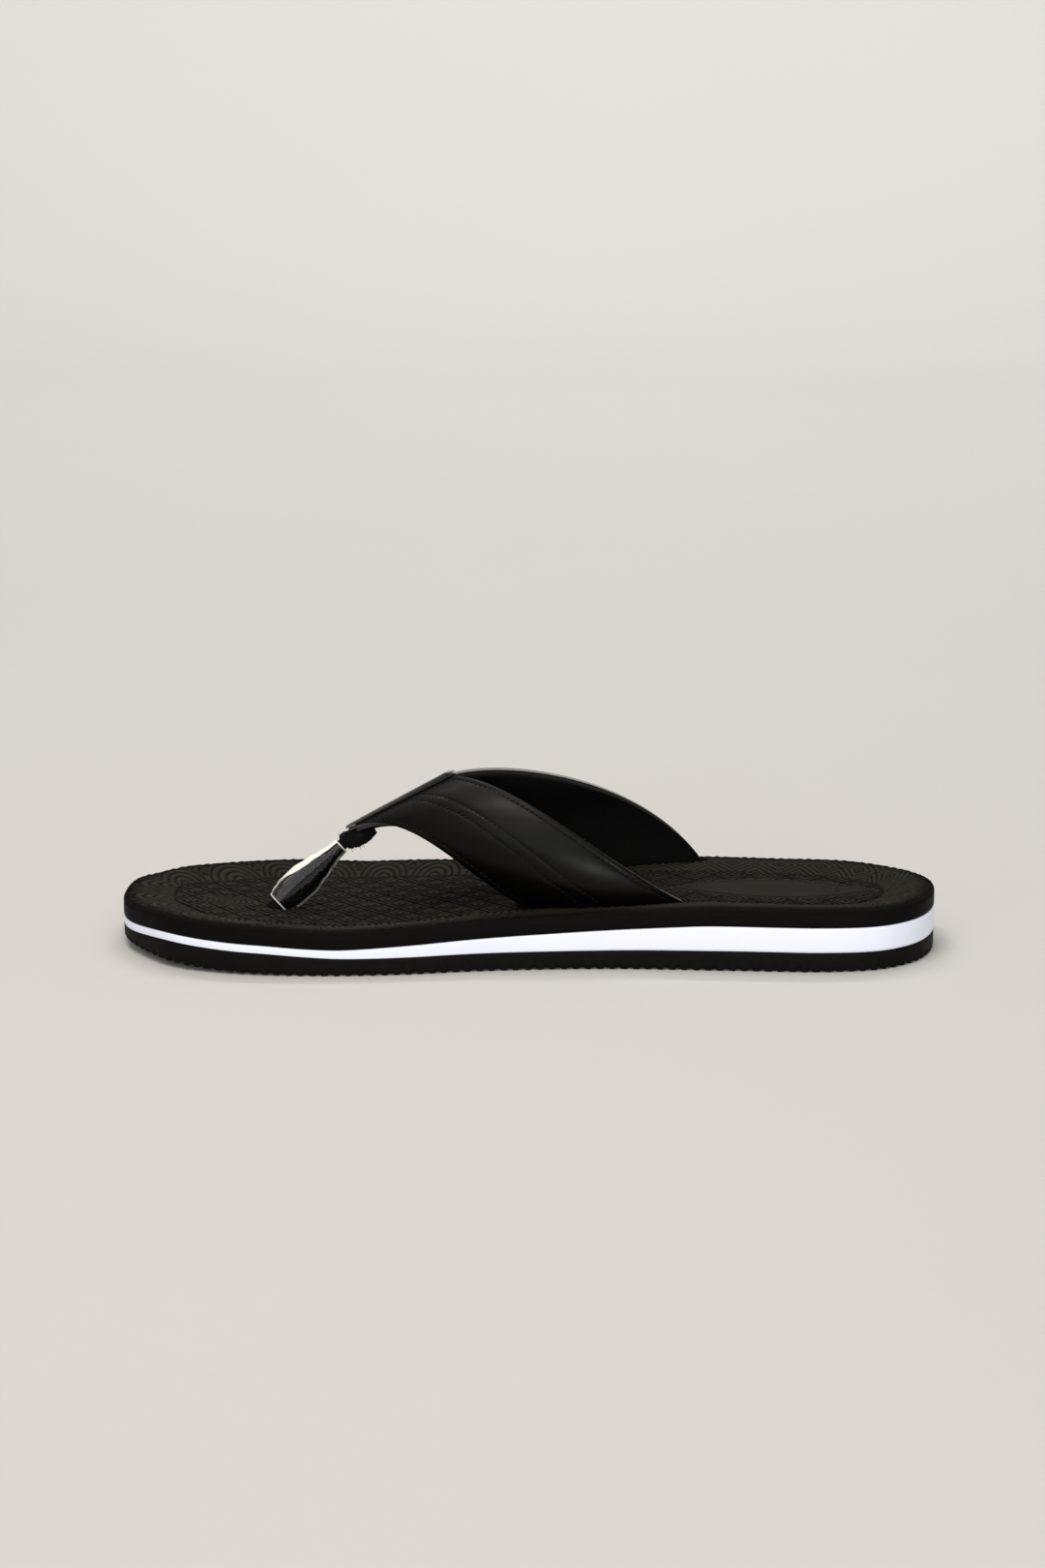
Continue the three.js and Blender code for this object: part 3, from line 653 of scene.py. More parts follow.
# ------------------------------------------------------------------ sole outline
@dataclass
class SoleSurvey:
    """Outline and level heights of the sole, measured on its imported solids."""

    bevel: float = 1.4 * MM
    edge_round: float = 1.4 * MM
    dish: float = 2.5 * MM
    slope: float = 17 * MM
    arch_at: float = 22 * MM
    arch_reach: float = 38 * MM
    arch_fill: float = 0.45
    same_corner: float = 0.05 * MM
    same_plan: float = 0.06 * MM
    wall_height: float = 1 * MM
    edge_zone: float = 3 * MM
    samples: int = 4000

    def __post_init__(self) -> None:
        """Reads the plates' corner points and sorts them into stations from toe to heel."""
        plates = {name: self.corners(name) for name in ("outsole", "midsole", "footbed")}
        base = plates["outsole"]
        flat = np.linalg.norm(base[:, None, :2] - base[None, :, :2], axis=2) < self.same_corner
        apart = np.abs(base[:, None, 2] - base[None, :, 2]) > self.wall_height
        outline = np.unique(np.round(base[(flat & apart).any(axis=1), :2], 5), axis=0)
        heights = {}
        for name, points in plates.items():
            away = np.linalg.norm(outline[:, None] - points[None, :, :2], axis=2)
            z = np.where(away < self.same_plan, points[None, :, 2], np.nan)
            heights[name] = (np.nanmin(z, axis=1), np.nanmax(z, axis=1))
        self.half_length = float(np.abs(outline[:, 0]).max())
        stations = self.angle(outline[:, 0])
        step = np.round(stations / np.pi * (len(outline) // 2)).astype(int)
        count = step.max() + 1
        low = np.array([outline[step == i, 1].min() for i in range(count)])
        high = np.array([outline[step == i, 1].max() for i in range(count)])
        sine = np.sin(np.linspace(0, np.pi, count))
        self.middle = (low + high) / 2
        self.fullness = np.ones(count)
        self.fullness[1:-1] = (high - low)[1:-1] / 2 / sine[1:-1]
        self.fullness[0] = 1.5 * self.fullness[1] - 0.5 * self.fullness[2]
        self.fullness[-1] = 1.5 * self.fullness[-2] - 0.5 * self.fullness[-3]
        rows = {
            name: [np.array([h[step == i].mean() for i in range(count)]) for h in pair]
            for name, pair in heights.items()
        }
        self.ground_row = rows["outsole"][0] - self.bevel
        self.outsole_row = (rows["outsole"][1] + rows["midsole"][0]) / 2
        self.midsole_row = (rows["midsole"][1] + rows["footbed"][0]) / 2
        self.rim_row = rows["footbed"][1] + self.edge_round
        self.trace()

    @staticmethod
    def corners(node: str) -> np.ndarray:
        """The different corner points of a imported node."""
        mesh = frame["nodes"][node].data
        points = np.empty(len(mesh.vertices) * 3)
        mesh.vertices.foreach_get("co", points)
        return np.unique(np.round(points.reshape(-1, 3), 6), axis=0)

    def angle(self, x: np.ndarray) -> np.ndarray:
        """The station angle at x: 0 at the toe tip and pi at the heel."""
        return np.arccos(np.clip(-x / self.half_length, -1, 1))

    def read(self, row: np.ndarray, x: np.ndarray) -> np.ndarray:
        """A station row read at x."""
        return smooth_row(row, self.angle(np.asarray(x, float)) / np.pi * (len(row) - 1))

    def edge_y(self, side: Side, x: np.ndarray) -> np.ndarray:
        """The outline's Y on one side."""
        reach = self.read(self.fullness, x) * np.sin(self.angle(np.asarray(x, float)))
        return self.read(self.middle, x) + side.value * reach

    def ground(self, x: np.ndarray) -> np.ndarray:
        """Height of the outsole's underside."""
        return np.maximum(self.read(self.ground_row, x), 0.0)

    def outsole_top(self, x: np.ndarray) -> np.ndarray:
        """Height where the outsole meets the midsole."""
        return self.read(self.outsole_row, x)

    def midsole_top(self, x: np.ndarray) -> np.ndarray:
        """Height where the midsole meets the footbed."""
        return self.read(self.midsole_row, x)

    def rim_top(self, x: np.ndarray) -> np.ndarray:
        """Height of the footbed's rim."""
        return self.read(self.rim_row, x)

    def footbed_top(self, x: np.ndarray, inset: np.ndarray) -> np.ndarray:
        """Height of the plain footbed at a distance in from its edge."""
        arch = 1 - self.arch_fill * np.exp(-(((x - self.arch_at) / self.arch_reach) ** 2))
        slope = smooth((inset - 2 * self.edge_round) / self.slope)
        return self.rim_top(x) - self.dish * arch * slope

    def trace(self) -> None:
        """Traces the outline closely and keeps its inward directions and running length."""
        angle = np.linspace(0, np.pi, self.samples)
        x = -self.half_length * np.cos(angle)
        inner = np.stack([x, self.edge_y(Side.MEDIAL, x)], axis=1)
        outer = np.stack([x, self.edge_y(Side.LATERAL, x)], axis=1)
        self.loop = np.concatenate([inner[:-1], outer[:0:-1]])
        ahead = unit(np.roll(self.loop, -1, axis=0) - np.roll(self.loop, 1, axis=0))
        self.inwards = np.stack([-ahead[:, 1], ahead[:, 0]], axis=1)
        steps = np.linalg.norm(np.diff(self.loop, axis=0, append=self.loop[:1]), axis=1)
        self.run = np.concatenate([[0], np.cumsum(steps)[:-1]])
        self.girth = float(steps.sum())
        self.tree = plan_tree(self.loop)

    def locate(self, points: np.ndarray) -> tuple[np.ndarray, np.ndarray, np.ndarray]:
        """Where points lie against the outline.

        Args:
            points: Points in plan.

        Returns:
            The distance in from the edge, the running length and the nearest sample.
        """
        found = [self.tree.find((p[0], p[1], 0.0))[1:] for p in points]
        index = np.array([f[0] for f in found])
        away = np.array([f[1] for f in found])
        offset = points[:, :2] - self.loop[index]
        square = (offset * self.inwards[index]).sum(axis=1)
        inset = np.where(away < self.edge_zone, np.maximum(square, 0), away)
        ahead = np.stack([self.inwards[index][:, 1], -self.inwards[index][:, 0]], axis=1)
        return inset, self.run[index] + (offset * ahead).sum(axis=1), index

    def spread(self, margin: float) -> Callable[[np.ndarray], np.ndarray]:
        """A map from a square grid to the sole's plan, with no poles.

        Args:
            margin: How far inside the outline the grid ends.

        Returns:
            The map from grid points in -1..1 to plan points.
        """
        shrink = 1 - margin / self.half_length

        def place(grid: np.ndarray) -> np.ndarray:
            a, b = grid[:, 0], grid[:, 1]
            along = a * np.sqrt(1 - b * b / 2)
            across = b * np.sqrt(1 - a * a / 2)
            x = self.half_length * along * shrink
            full = self.read(self.fullness, self.half_length * along)
            return np.stack([x, self.read(self.middle, x) + (full - margin) * across], axis=1)

        return place


class Wall:
    """The open edge of a plate, grown level by level into its wall and then closed."""

    def __init__(self, bm: bmesh.types.BMesh, survey: SoleSurvey) -> None:
        """Finds the open edge and where each of its corners stands on the outline."""
        self.bm = bm
        self.survey = survey
        self.loop = [edge for edge in bm.edges if edge.is_boundary or edge.is_wire]
        self.verts = list({vert for edge in self.loop for vert in edge.verts})
        points = np.array([vert.co[:] for vert in self.verts])
        _, self.run, index = survey.locate(points)
        self.home = survey.loop[index]
        shift = self.run - survey.run[index]
        ahead = np.stack([survey.inwards[index][:, 1], -survey.inwards[index][:, 0]], axis=1)
        self.home = self.home + ahead * shift[:, None]
        self.inwards = survey.inwards[index]

    @property
    def x(self) -> np.ndarray:
        """X of the outline under each corner."""
        return self.home[:, 0]

    def shift(self, inset: np.ndarray | float, z: np.ndarray) -> None:
        """Moves the open edge to a distance in from the outline and a height."""
        plan = self.home + self.inwards * np.broadcast_to(inset, self.run.shape)[:, None]
        put(self.verts, np.column_stack([plan, z]))

    def grow(self, inset: np.ndarray | float, z: np.ndarray) -> None:
        """Extrudes the open edge to a new level."""
        self.loop, self.verts = extrude_ring(self.bm, self.loop, self.verts)
        self.shift(inset, z)

    def close(self) -> None:
        """Fills the open edge and turns every face outwards."""
        bmesh.ops.triangle_fill(self.bm, use_beauty=True, edges=self.loop)
        bmesh.ops.recalc_face_normals(self.bm, faces=self.bm.faces)


# ------------------------------------------------------------------ strap
@dataclass
class StrapLeaf:
    """One leaf of the strap: it hangs from the ridge to the footbed, between two edges."""

    side: Side
    survey: SoleSurvey
    front_base: tuple[float, float]
    rear_base: tuple[float, float]
    front_pull: tuple[tuple[float, float, float], tuple[float, float, float]]
    rear_pull: tuple[tuple[float, float, float], tuple[float, float, float]]
    bow: float
    nose: tuple[float, float, float] = (-62.8 * MM, -5 * MM, 40.6 * MM)
    apex: tuple[float, float, float] = (-28.9 * MM, -1.8 * MM, 59.1 * MM)
    ridge_split: float = 0.7 * MM
    crown: float = 2 * MM
    outer: float = 1.05 * MM
    padding: tuple[float, float] = (1.15 * MM, 2.3 * MM)
    lining: tuple[float, float] = (2.4 * MM, 3.3 * MM)
    tail: float = 3.6 * MM
    tail_run: float = 70 * MM
    pitch: float = 2.0 * MM
    seams: tuple[tuple[str, float, float, float, float], ...] = (
        ("front", 0.1, 0.97, 0.07, 0.06),
        ("rear", 0.07, 0.97, 0.94, 0.94),
        ("lower_centre", 0.08, 0.97, 0.5, 0.42),
        ("upper_centre", 0.08, 0.97, 0.62, 0.54),
    )
    ridge_seam: float = 0.075
    seam_width: float = 0.42 * MM
    seam_draw: float = 0.15
    seam_beat: float = 0.08
    pad_lift: float = 0.05 * MM
    edge_turn: float = 0.12 * MM
    stitch: tuple[float, float, float] = (0.74 * MM, 0.32 * MM, 0.26 * MM)
    stitch_rise: float = 0.1 * MM
    stitch_slant: float = 0.1
    cloth_width: float = 44 * MM

    @property
    def label(self) -> str:
        """The side's name."""
        return self.side.name.lower()

    def base(self, x: float, inset: float) -> np.ndarray:
        """A point where the leaf meets the footbed."""
        y = float(self.survey.edge_y(self.side, np.array(x))) - self.side.value * inset
        z = float(self.survey.footbed_top(np.array(x), np.array(inset)))
        return np.array([x, y, z])

    def edge(self, top: np.ndarray, base: np.ndarray, pulls: Sequence, u: np.ndarray) -> np.ndarray:
        """A cubic edge from the ridge to the footbed, pulled by two handles."""
        run = base - top
        handles = [
            np.array([top[0] + run[0] * p[0], top[1] + run[1] * p[1], top[2] - run[2] * p[2]])
            for p in pulls
        ]
        u = u[..., None]
        return (
            top * (1 - u) ** 3 + handles[0] * 3 * u * (1 - u) ** 2
            + handles[1] * 3 * u * u * (1 - u) + base * u**3
        )

    def point(self, u: np.ndarray, v: np.ndarray) -> np.ndarray:
        """Points of the outer face: u from ridge to footbed, v from front edge to rear edge."""
        split = np.array([0, self.side.value * self.ridge_split, 0])
        held = np.clip(u, None, 1.0)
        nose, apex = np.array(self.nose) + split, np.array(self.apex) + split
        front = self.edge(nose, self.base(*self.front_base), self.front_pull, held)
        rear = self.edge(apex, self.base(*self.rear_base), self.rear_pull, held)
        points = front + (rear - front) * v[..., None]
        arc = 4 * v * (1 - v)
        crown = arc * 4 * held * (1 - held) * self.crown
        points[..., 1] += self.side.value * (arc * held**2 * self.bow + crown)
        points[..., 2] += crown * 0.5 - np.clip(u - 1, 0, None) * self.tail_run
        return points

    def normal(self, u: np.ndarray, v: np.ndarray) -> np.ndarray:
        """Outward directions of the outer face."""
        d = 0.004
        along = self.point(u + d, v) - self.point(u - d, v)
        across = self.point(u, v + d) - self.point(u, v - d)
        return unit(np.cross(along, across)) * (1 if self.side is Side.MEDIAL else -1)

    def width(self, u: np.ndarray) -> np.ndarray:
        """Width of the leaf at u."""
        gap = self.point(u, np.ones_like(u)) - self.point(u, np.zeros_like(u))
        return np.linalg.norm(gap, axis=-1)

    def length(self, v: float) -> float:
        """Length of the leaf's face along v."""
        u = np.linspace(0, 1, 120)
        steps = np.diff(self.point(u, np.full_like(u, v)), axis=0)
        return float(np.linalg.norm(steps, axis=1).sum())

    def stitched(self, u: np.ndarray, v: np.ndarray) -> np.ndarray:
        """How far the sewing draws the face in, and the padding lifts it between seams."""
        width = self.width(u)
        nearest = np.full_like(u, 1.0)
        lift = np.zeros_like(u)
        for _, u0, u1, v0, v1 in self.seams:
            t = (u - u0) / (u1 - u0)
            away = np.abs(v - (v0 + (v1 - v0) * np.clip(t, 0, 1))) * width
            held = smooth(t / 0.04 + 0.5) * smooth((1 - t) / 0.04 + 0.5)
            beat = np.cos(2 * np.pi * u * self.length(0.5) / self.pitch)
            draw = (self.seam_draw + self.seam_beat * beat) * MM
            lift -= held * dent(away, self.seam_width) * draw
            nearest = np.minimum(nearest, np.where(held > 0.3, away, 1.0))
        edge = np.minimum(v, 1 - v) * width
        nearest = np.minimum(nearest, edge + 1 * MM)
        ends = smooth(u / 0.12) * smooth((1 - u) / 0.05)
        lift += self.pad_lift * smooth(nearest / (3 * MM)) * ends
        lift -= self.edge_turn * dent(edge, 0.7 * MM)
        return lift

    def slab(
        self, name: str, depths: tuple[float, float], span: tuple[float, float], trim: float,
        steps: tuple[int, int], finishes: Sequence[Finish], slot: Slot, stands_for: str,
        shaped: bool = False, rounding: float = 0.2 * MM,
    ) -> bpy.types.Object:
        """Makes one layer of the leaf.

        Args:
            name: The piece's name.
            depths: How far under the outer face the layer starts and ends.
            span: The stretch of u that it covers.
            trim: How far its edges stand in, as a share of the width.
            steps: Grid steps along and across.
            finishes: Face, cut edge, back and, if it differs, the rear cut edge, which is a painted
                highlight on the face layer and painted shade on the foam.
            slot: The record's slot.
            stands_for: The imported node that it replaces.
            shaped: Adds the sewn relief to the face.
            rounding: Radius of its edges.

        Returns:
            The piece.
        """
        bm = bmesh.new()
        verts = bmesh.ops.create_grid(
            bm, x_segments=steps[0], y_segments=steps[1], size=1.0
        )["verts"]
        grid = np.array([vert.co[:2] for vert in verts])
        u = span[0] + (grid[:, 0] + 1) / 2 * (span[1] - span[0])
        v = trim + (grid[:, 1] + 1) / 2 * (1 - 2 * trim)
        normals = self.normal(u, v)
        lift = self.stitched(u, v) if shaped else np.zeros_like(u)
        face = self.point(u, v) + normals * (lift - depths[0])[:, None]
        back = self.point(u, v) - normals * depths[1]
        put(verts, face)
        uv_layer = bm.loops.layers.uv.new("UVMap")
        flat = np.column_stack([u * self.length(0.5), v * self.cloth_width])
        where = {vert: i for i, vert in enumerate(verts)}
        for bm_face in bm.faces:
            for corner in bm_face.loops:
                corner[uv_layer].uv = flat[where[corner.vert]]
        border = [edge for edge in bm.edges if edge.is_boundary]
        top = list(bm.faces)
        grown = bmesh.ops.extrude_face_region(bm, geom=top, use_keep_orig=True)["geom"]
        places = {vert.co.to_tuple(): i for i, vert in enumerate(verts)}
        fresh = [g for g in grown if isinstance(g, bmesh.types.BMVert)]
        order = [places[vert.co.to_tuple()] for vert in fresh]
        put(fresh, back[order])
        under = {g for g in grown if isinstance(g, bmesh.types.BMFace)}
        kept = set(top)
        # the rear cut edge takes the fourth finish: painted highlight on the face layer, painted
        # shade on the foam
        rear = {vert for vert, i in where.items() if grid[i, 1] > 1 - 1e-4}
        for bm_face in bm.faces:
            side = 3 if len(finishes) > 3 and len(rear.intersection(bm_face.verts)) > 1 else 1
            bm_face.material_index = 0 if bm_face in kept else 2 if bm_face in under else side
        bmesh.ops.recalc_face_normals(bm, faces=bm.faces)
        bmesh.ops.bevel(
            bm, geom=border, offset=rounding, offset_type="OFFSET", segments=2, profile=0.5,
            affect="EDGES", material=-1, clamp_overlap=True,
        )
        return Piece(name, finishes, slot, (stands_for,)).make(bm)

    def foot_line(self) -> np.ndarray:
        """The middle of the strap's thickness where it enters the footbed, in plan."""
        v = np.linspace(-0.01, 1.01, 240)
        u = np.ones_like(v)
        return (self.point(u, v) - self.normal(u * 0.995, v) * self.lining[1] / 2)[:, :2]

    def seam_path(self, u: np.ndarray, v: np.ndarray) -> tuple[np.ndarray, np.ndarray]:
        """Points and normals along a seam, spaced by one stitch."""
        points = self.point(u, v) + self.normal(u, v) * self.stitched(u, v)[:, None]
        run = np.concatenate([[0], np.cumsum(np.linalg.norm(np.diff(points, axis=0), axis=1))])
        at = np.arange(self.pitch / 2, run[-1], self.pitch)
        fine_u, fine_v = np.interp(at, run, u), np.interp(at, run, v)
        spots = self.point(fine_u, fine_v)
        spots += self.normal(fine_u, fine_v) * self.stitched(fine_u, fine_v)[:, None]
        return spots, self.normal(fine_u, fine_v)

    def stitches(self, name: str, u: np.ndarray, v: np.ndarray, stands_for: Sequence[str]) -> None:
        """Sews one row: a short arched thread for each stitch."""
        spots, normals = self.seam_path(u, v)
        ahead = unit(np.gradient(spots, axis=0))
        bm = bmesh.new()
        for spot, normal, along in zip(spots, normals, ahead):
            across = np.cross(normal, along)
            slant = unit(along + across * self.stitch_slant)
            across = np.cross(normal, slant)
            matrix = Matrix.Identity(4)
            for i, (axis, size) in enumerate(zip((slant, across, normal), self.stitch)):
                for row in range(3):
                    matrix[row][i] = axis[row] * size
            matrix.translation = spot + normal * self.stitch_rise
            bmesh.ops.create_uvsphere(bm, u_segments=8, v_segments=6, radius=1.0, matrix=matrix)
        Piece(name, [BLACK_THREAD], Slot.THREAD, stands_for).make(bm)

    def build(self) -> None:
        """Makes the three layers and every row of sewing."""
        tail_end = 1 + self.tail / self.tail_run
        self.slab(
            f"{self.label}_leaf_face", (0.0, self.outer), (0.0, tail_end), 0.0, (150, 90),
            [STRAP_FACE, STRAP_EDGE, STRAP_BACK_AND_SHADE, STRAP_REAR_HIGHLIGHT], Slot.LEATHER,
            f"{self.label}_strap_outer", shaped=True,
        )
        foam = self.slab(
            f"{self.label}_leaf_foam", self.padding, (0.035, 0.985), 0.006, (90, 40),
            # the foam's rear cut edge takes the near-black back finish: painted shade
            [FOAM_EDGE, FOAM_EDGE, FOAM_EDGE, STRAP_BACK_AND_SHADE], Slot.PADDING,
            f"{self.label}_strap_padding",
        )
        lining = self.slab(
            f"{self.label}_leaf_lining", self.lining, (0.045, tail_end), 0.003, (100, 44),
            [LINING_CLOTH] * 3, Slot.LINING, f"{self.label}_strap_lining",
        )
        length = self.length(0.5) + self.tail
        width = float(self.width(np.linspace(0, 1, 40)).max())
        for name, u0, u1, v0, v1 in self.seams:
            t = np.linspace(0, 1, 200)
            self.stitches(
                f"{self.label}_{name}_stitches", u0 + (u1 - u0) * t, v0 + (v1 - v0) * t,
                (f"{self.label}_{name}_stitching",),
            )
        t = np.linspace(0.03, 0.97, 120)
        self.stitches(f"{self.label}_ridge_stitches", np.full_like(t, self.ridge_seam), t, ())


@dataclass
class RidgeStrip:
    """The narrow strip that covers the seam between the two leaves."""

    medial: StrapLeaf
    lateral: StrapLeaf
    half: float = 2.4 * MM
    thick: float = 0.75 * MM
    lift: float = 0.05 * MM
    side_share: float = 0.45
    roundness: float = 0.93
    end_round: float = 0.15 * MM
    reach: tuple[float, float] = (-0.015, 1.012)
    steps: int = 70
    rails: int = 13

    def rail(self, share: float, v: np.ndarray) -> np.ndarray:
        """A line along the strip: share -1 on the medial side to 1 on the lateral."""
        leaf = self.medial if share < 0 else self.lateral
        u = np.full_like(v, abs(share) * self.half / leaf.cloth_width)
        middle = (self.medial.point(u * 0, v) + self.lateral.point(u * 0, v)) / 2
        near = smooth(np.array(abs(share) * 3))
        return middle + (leaf.point(u, v) - middle) * max(float(near), abs(share))

    def build(self) -> None:
        """Lays the strip over the ridge as a rounded band, square at its rear end."""
        v = np.linspace(*self.reach, self.steps)
        shares = np.linspace(-1, 1, self.rails)
        rails = np.array([self.rail(share, v) for share in shares])
        along = unit(np.gradient(rails, axis=1))
        across = unit(np.gradient(rails, axis=0))
        normals = unit(np.cross(along, across))
        normals *= np.sign(normals[..., 2:3])
        swell = np.sqrt(1 - (np.abs(shares) * self.roundness) ** 2)[:, None, None]
        height = self.side_share + (1 - self.side_share) * swell
        top = rails + normals * (self.lift + self.thick * height)
        under = rails + normals * self.lift
        rings = [np.concatenate([top[:, i], under[::-1, i]]) for i in range(self.steps)]
        bm = bmesh.new()
        loft(bm, rings)
        for bm_face in bm.faces:
            if len(bm_face.verts) > 4:
                bm_face.material_index = 1
        ends = [edge for edge in bm.edges if any(f.material_index for f in edge.link_faces)]
        bmesh.ops.bevel(
            bm, geom=ends, offset=self.end_round, offset_type="OFFSET", segments=2, profile=0.5,
            affect="EDGES", material=-1, clamp_overlap=True,
        )
        Piece(
            "ridge_band", [STRAP_FACE, STRAP_TIP_HIGHLIGHT], Slot.LEATHER, ("ridge_strip",), crease=50
        ).make(bm)


# ------------------------------------------------------------------ toe post
@dataclass
class ToePost:
    """The toe post: webbing that runs through a loose clear sleeve, over a hidden anchor.

    The sleeve's and the slack's rows give a share of the sleeve's length and a half width or a
    gap in millimetres. The knob's rows give how far along it, sag, half width and depth.
    """

    leaf: StrapLeaf
    sleeve_rows: tuple[tuple[float, float], ...] = (
        (0, 4.4), (0.1, 5.3), (0.2, 5.88), (0.4, 6.0),
        (0.62, 4.88), (0.75, 3.9), (0.88, 3.15), (1, 2.9),
    )
    slack_rows: tuple[tuple[float, float], ...] = (
        (-0.14, 0.5), (0, 0.7), (0.1, 1.5), (0.22, 2.1), (0.4, 1.9),
        (0.55, 1.3), (0.7, 0.5), (0.82, 0.1), (1.1, 0.1),
    )
    half_depth: float = 2.9 * MM
    wall: float = 0.5 * MM
    play: float = 0.3 * MM
    webbing_depth: float = 1.95 * MM
    knob_rows: tuple[tuple[float, float, float, float], ...] = (
        (0.0, 0.0, 2.5, 2.0), (1.6, 0.9, 3.2, 2.6), (4.6, 1.0, 3.4, 2.7),
        (8.5, 0.6, 3.1, 2.3), (12.5, 0.2, 2.0, 1.5),
    )
    knob_start: float = 1.2 * MM
    knob_drop: float = 4.3 * MM
    knob_ahead: float = 4.4 * MM
    knob_bend: float = 5 * MM
    sleeve_sides: int = 96
    webbing_sides: int = 72
    lip: float = 0.35
    # the painted glow bands: where they begin across the width, and how much nearer the edge they
    # begin high up on one side; then the width and fade of the glow at each end
    glow_reach: tuple[float, float] = (0.955, 0.27)
    end_glow_band: tuple[float, float] = (0.3 * MM, 0.2 * MM)
    fray_count: int = 34
    fray_length: tuple[float, float] = (0.6, 1.9)
    fray_radius: float = 0.11 * MM

    def __post_init__(self) -> None:
        """Measures the sleeve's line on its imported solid."""
        points = SoleSurvey.corners("toe_post_sleeve")
        self.axis = np.array(frame["joints"][0]["axis"], float)
        self.axis /= np.linalg.norm(self.axis)
        along = points @ self.axis
        self.length = float(along.max() - along.min())
        foot = points[along < along.min() + 0.2 * MM].mean(axis=0)
        self.foot = foot + self.axis * (along.min() - foot @ self.axis)
        self.across = unit(np.array([0.0, 1.0, 0.0]) - self.axis * self.axis[1])
        self.wide = np.cross(self.across, self.axis)
        self.lean = -1.0 if self.wide[0] > 0 else 1.0

    @staticmethod
    def half_width(rows: Sequence[tuple[float, float]], t: float) -> float:
        """A half width read smoothly from a row of shares and millimetres."""
        shares, sizes = np.array([r[0] for r in rows]), np.array([r[1] for r in rows])
        i = int(np.clip(np.searchsorted(shares, t) - 1, 0, len(shares) - 2))
        part = float(smooth(np.array((t - shares[i]) / (shares[i + 1] - shares[i]))))
        return (sizes[i] + (sizes[i + 1] - sizes[i]) * part) * MM

    def ring(self, distance: float, half: float, depth: float, count: int) -> np.ndarray:
        """A flattened ring across the post."""
        centre = self.foot + self.axis * distance
        return oval(centre, ring_angles(count), self.wide, half, self.across, depth)

    def sleeve(self) -> None:
        """Makes the tube as one wall: up the outside, over the lip and down the inside."""
        bm = bmesh.new()
        painted_glow = bm.verts.layers.float.new("painted_glow")
        count, inner_depth = self.sleeve_sides, self.half_depth - self.wall
        outside, inside = [], []
        for t in np.linspace(0, 1, 60):
            half = self.half_width(self.sleeve_rows, t)
            outside.append(self.ring(t * self.length, half, self.half_depth, count))
            inside.append(self.ring(t * self.length, half - self.wall, inner_depth, count))
        ends = [
            self.ring(
                t * self.length + lip * self.wall * 0.5,
                self.half_width(self.sleeve_rows, t) - self.wall / 2,
                self.half_depth - self.wall / 2, count,
            )
            for t, lip in ((0.0, -self.lip), (1.0, self.lip))
        ]
        loft(bm, [ends[0], *outside, ends[1], *inside[::-1]], closed=True)
        # paints the glow bands along both side folds, shorter on one side higher up, and round both
        # cut ends: painted glow of light refracted through the plastic
        for vert in bm.verts:
            offset = np.array(vert.co) - self.foot
            along = float(offset @ self.axis)
            half = self.half_width(self.sleeve_rows, float(np.clip(along / self.length, 0, 1)))
            across = float(offset @ self.wide) / half * self.lean
            upper = float(smooth(np.array((along / self.length - 0.2) / 0.25)))
            reach = self.glow_reach[0] - self.glow_reach[1] * upper * (across > 0)
            fold = smooth(np.array((abs(across) - reach) / 0.03))
            to_end = min(along, self.length - along)
            end = smooth(np.array((self.end_glow_band[0] - to_end) / self.end_glow_band[1]))
            vert[painted_glow] = float(max(fold, end))
        Piece(
            "clear_sleeve", [CLEAR_TUBE], Slot.SLEEVE, ("toe_post_sleeve",), "sleeve", 60
        ).make(bm)

    def knob_ring(self, share: float, count: int) -> np.ndarray:
        """A ring of the folded bundle that runs up under the strap's nose."""
        rows = np.array(self.knob_rows)
        place = share * (len(rows) - 1)
        run, sag, half, deep = (
            float(smooth_row(rows[:, i], np.array(place))) * MM for i in range(4)
        )
        nose = np.array(self.leaf.nose)
        ridge = unit(np.array(self.leaf.apex) - nose)
        start = self.foot + self.axis * (self.length + self.knob_start)
        under = np.array([-ridge[2], 0.0, ridge[0]])
        tucked = nose - under * self.knob_drop + ridge * (run - self.knob_ahead)
        turn = float(smooth(np.array(run / self.knob_bend)))
        centre = (start + self.axis * run) * (1 - turn) + tucked * turn - under * sag * 0.3
        level = unit(self.axis * (1 - turn) + ridge * turn)
        wide = np.cross(self.across, level)
        angle = ring_angles(count)
        folds = 1 + 0.08 * np.cos(3 * angle + 1.2 + share * 5)
        folds += 0.05 * np.cos(7 * angle + share * 16)
        folds += 0.035 * np.cos(12 * angle - share * 31)
        return oval(centre, angle, wide, half * folds, self.across, deep * folds)

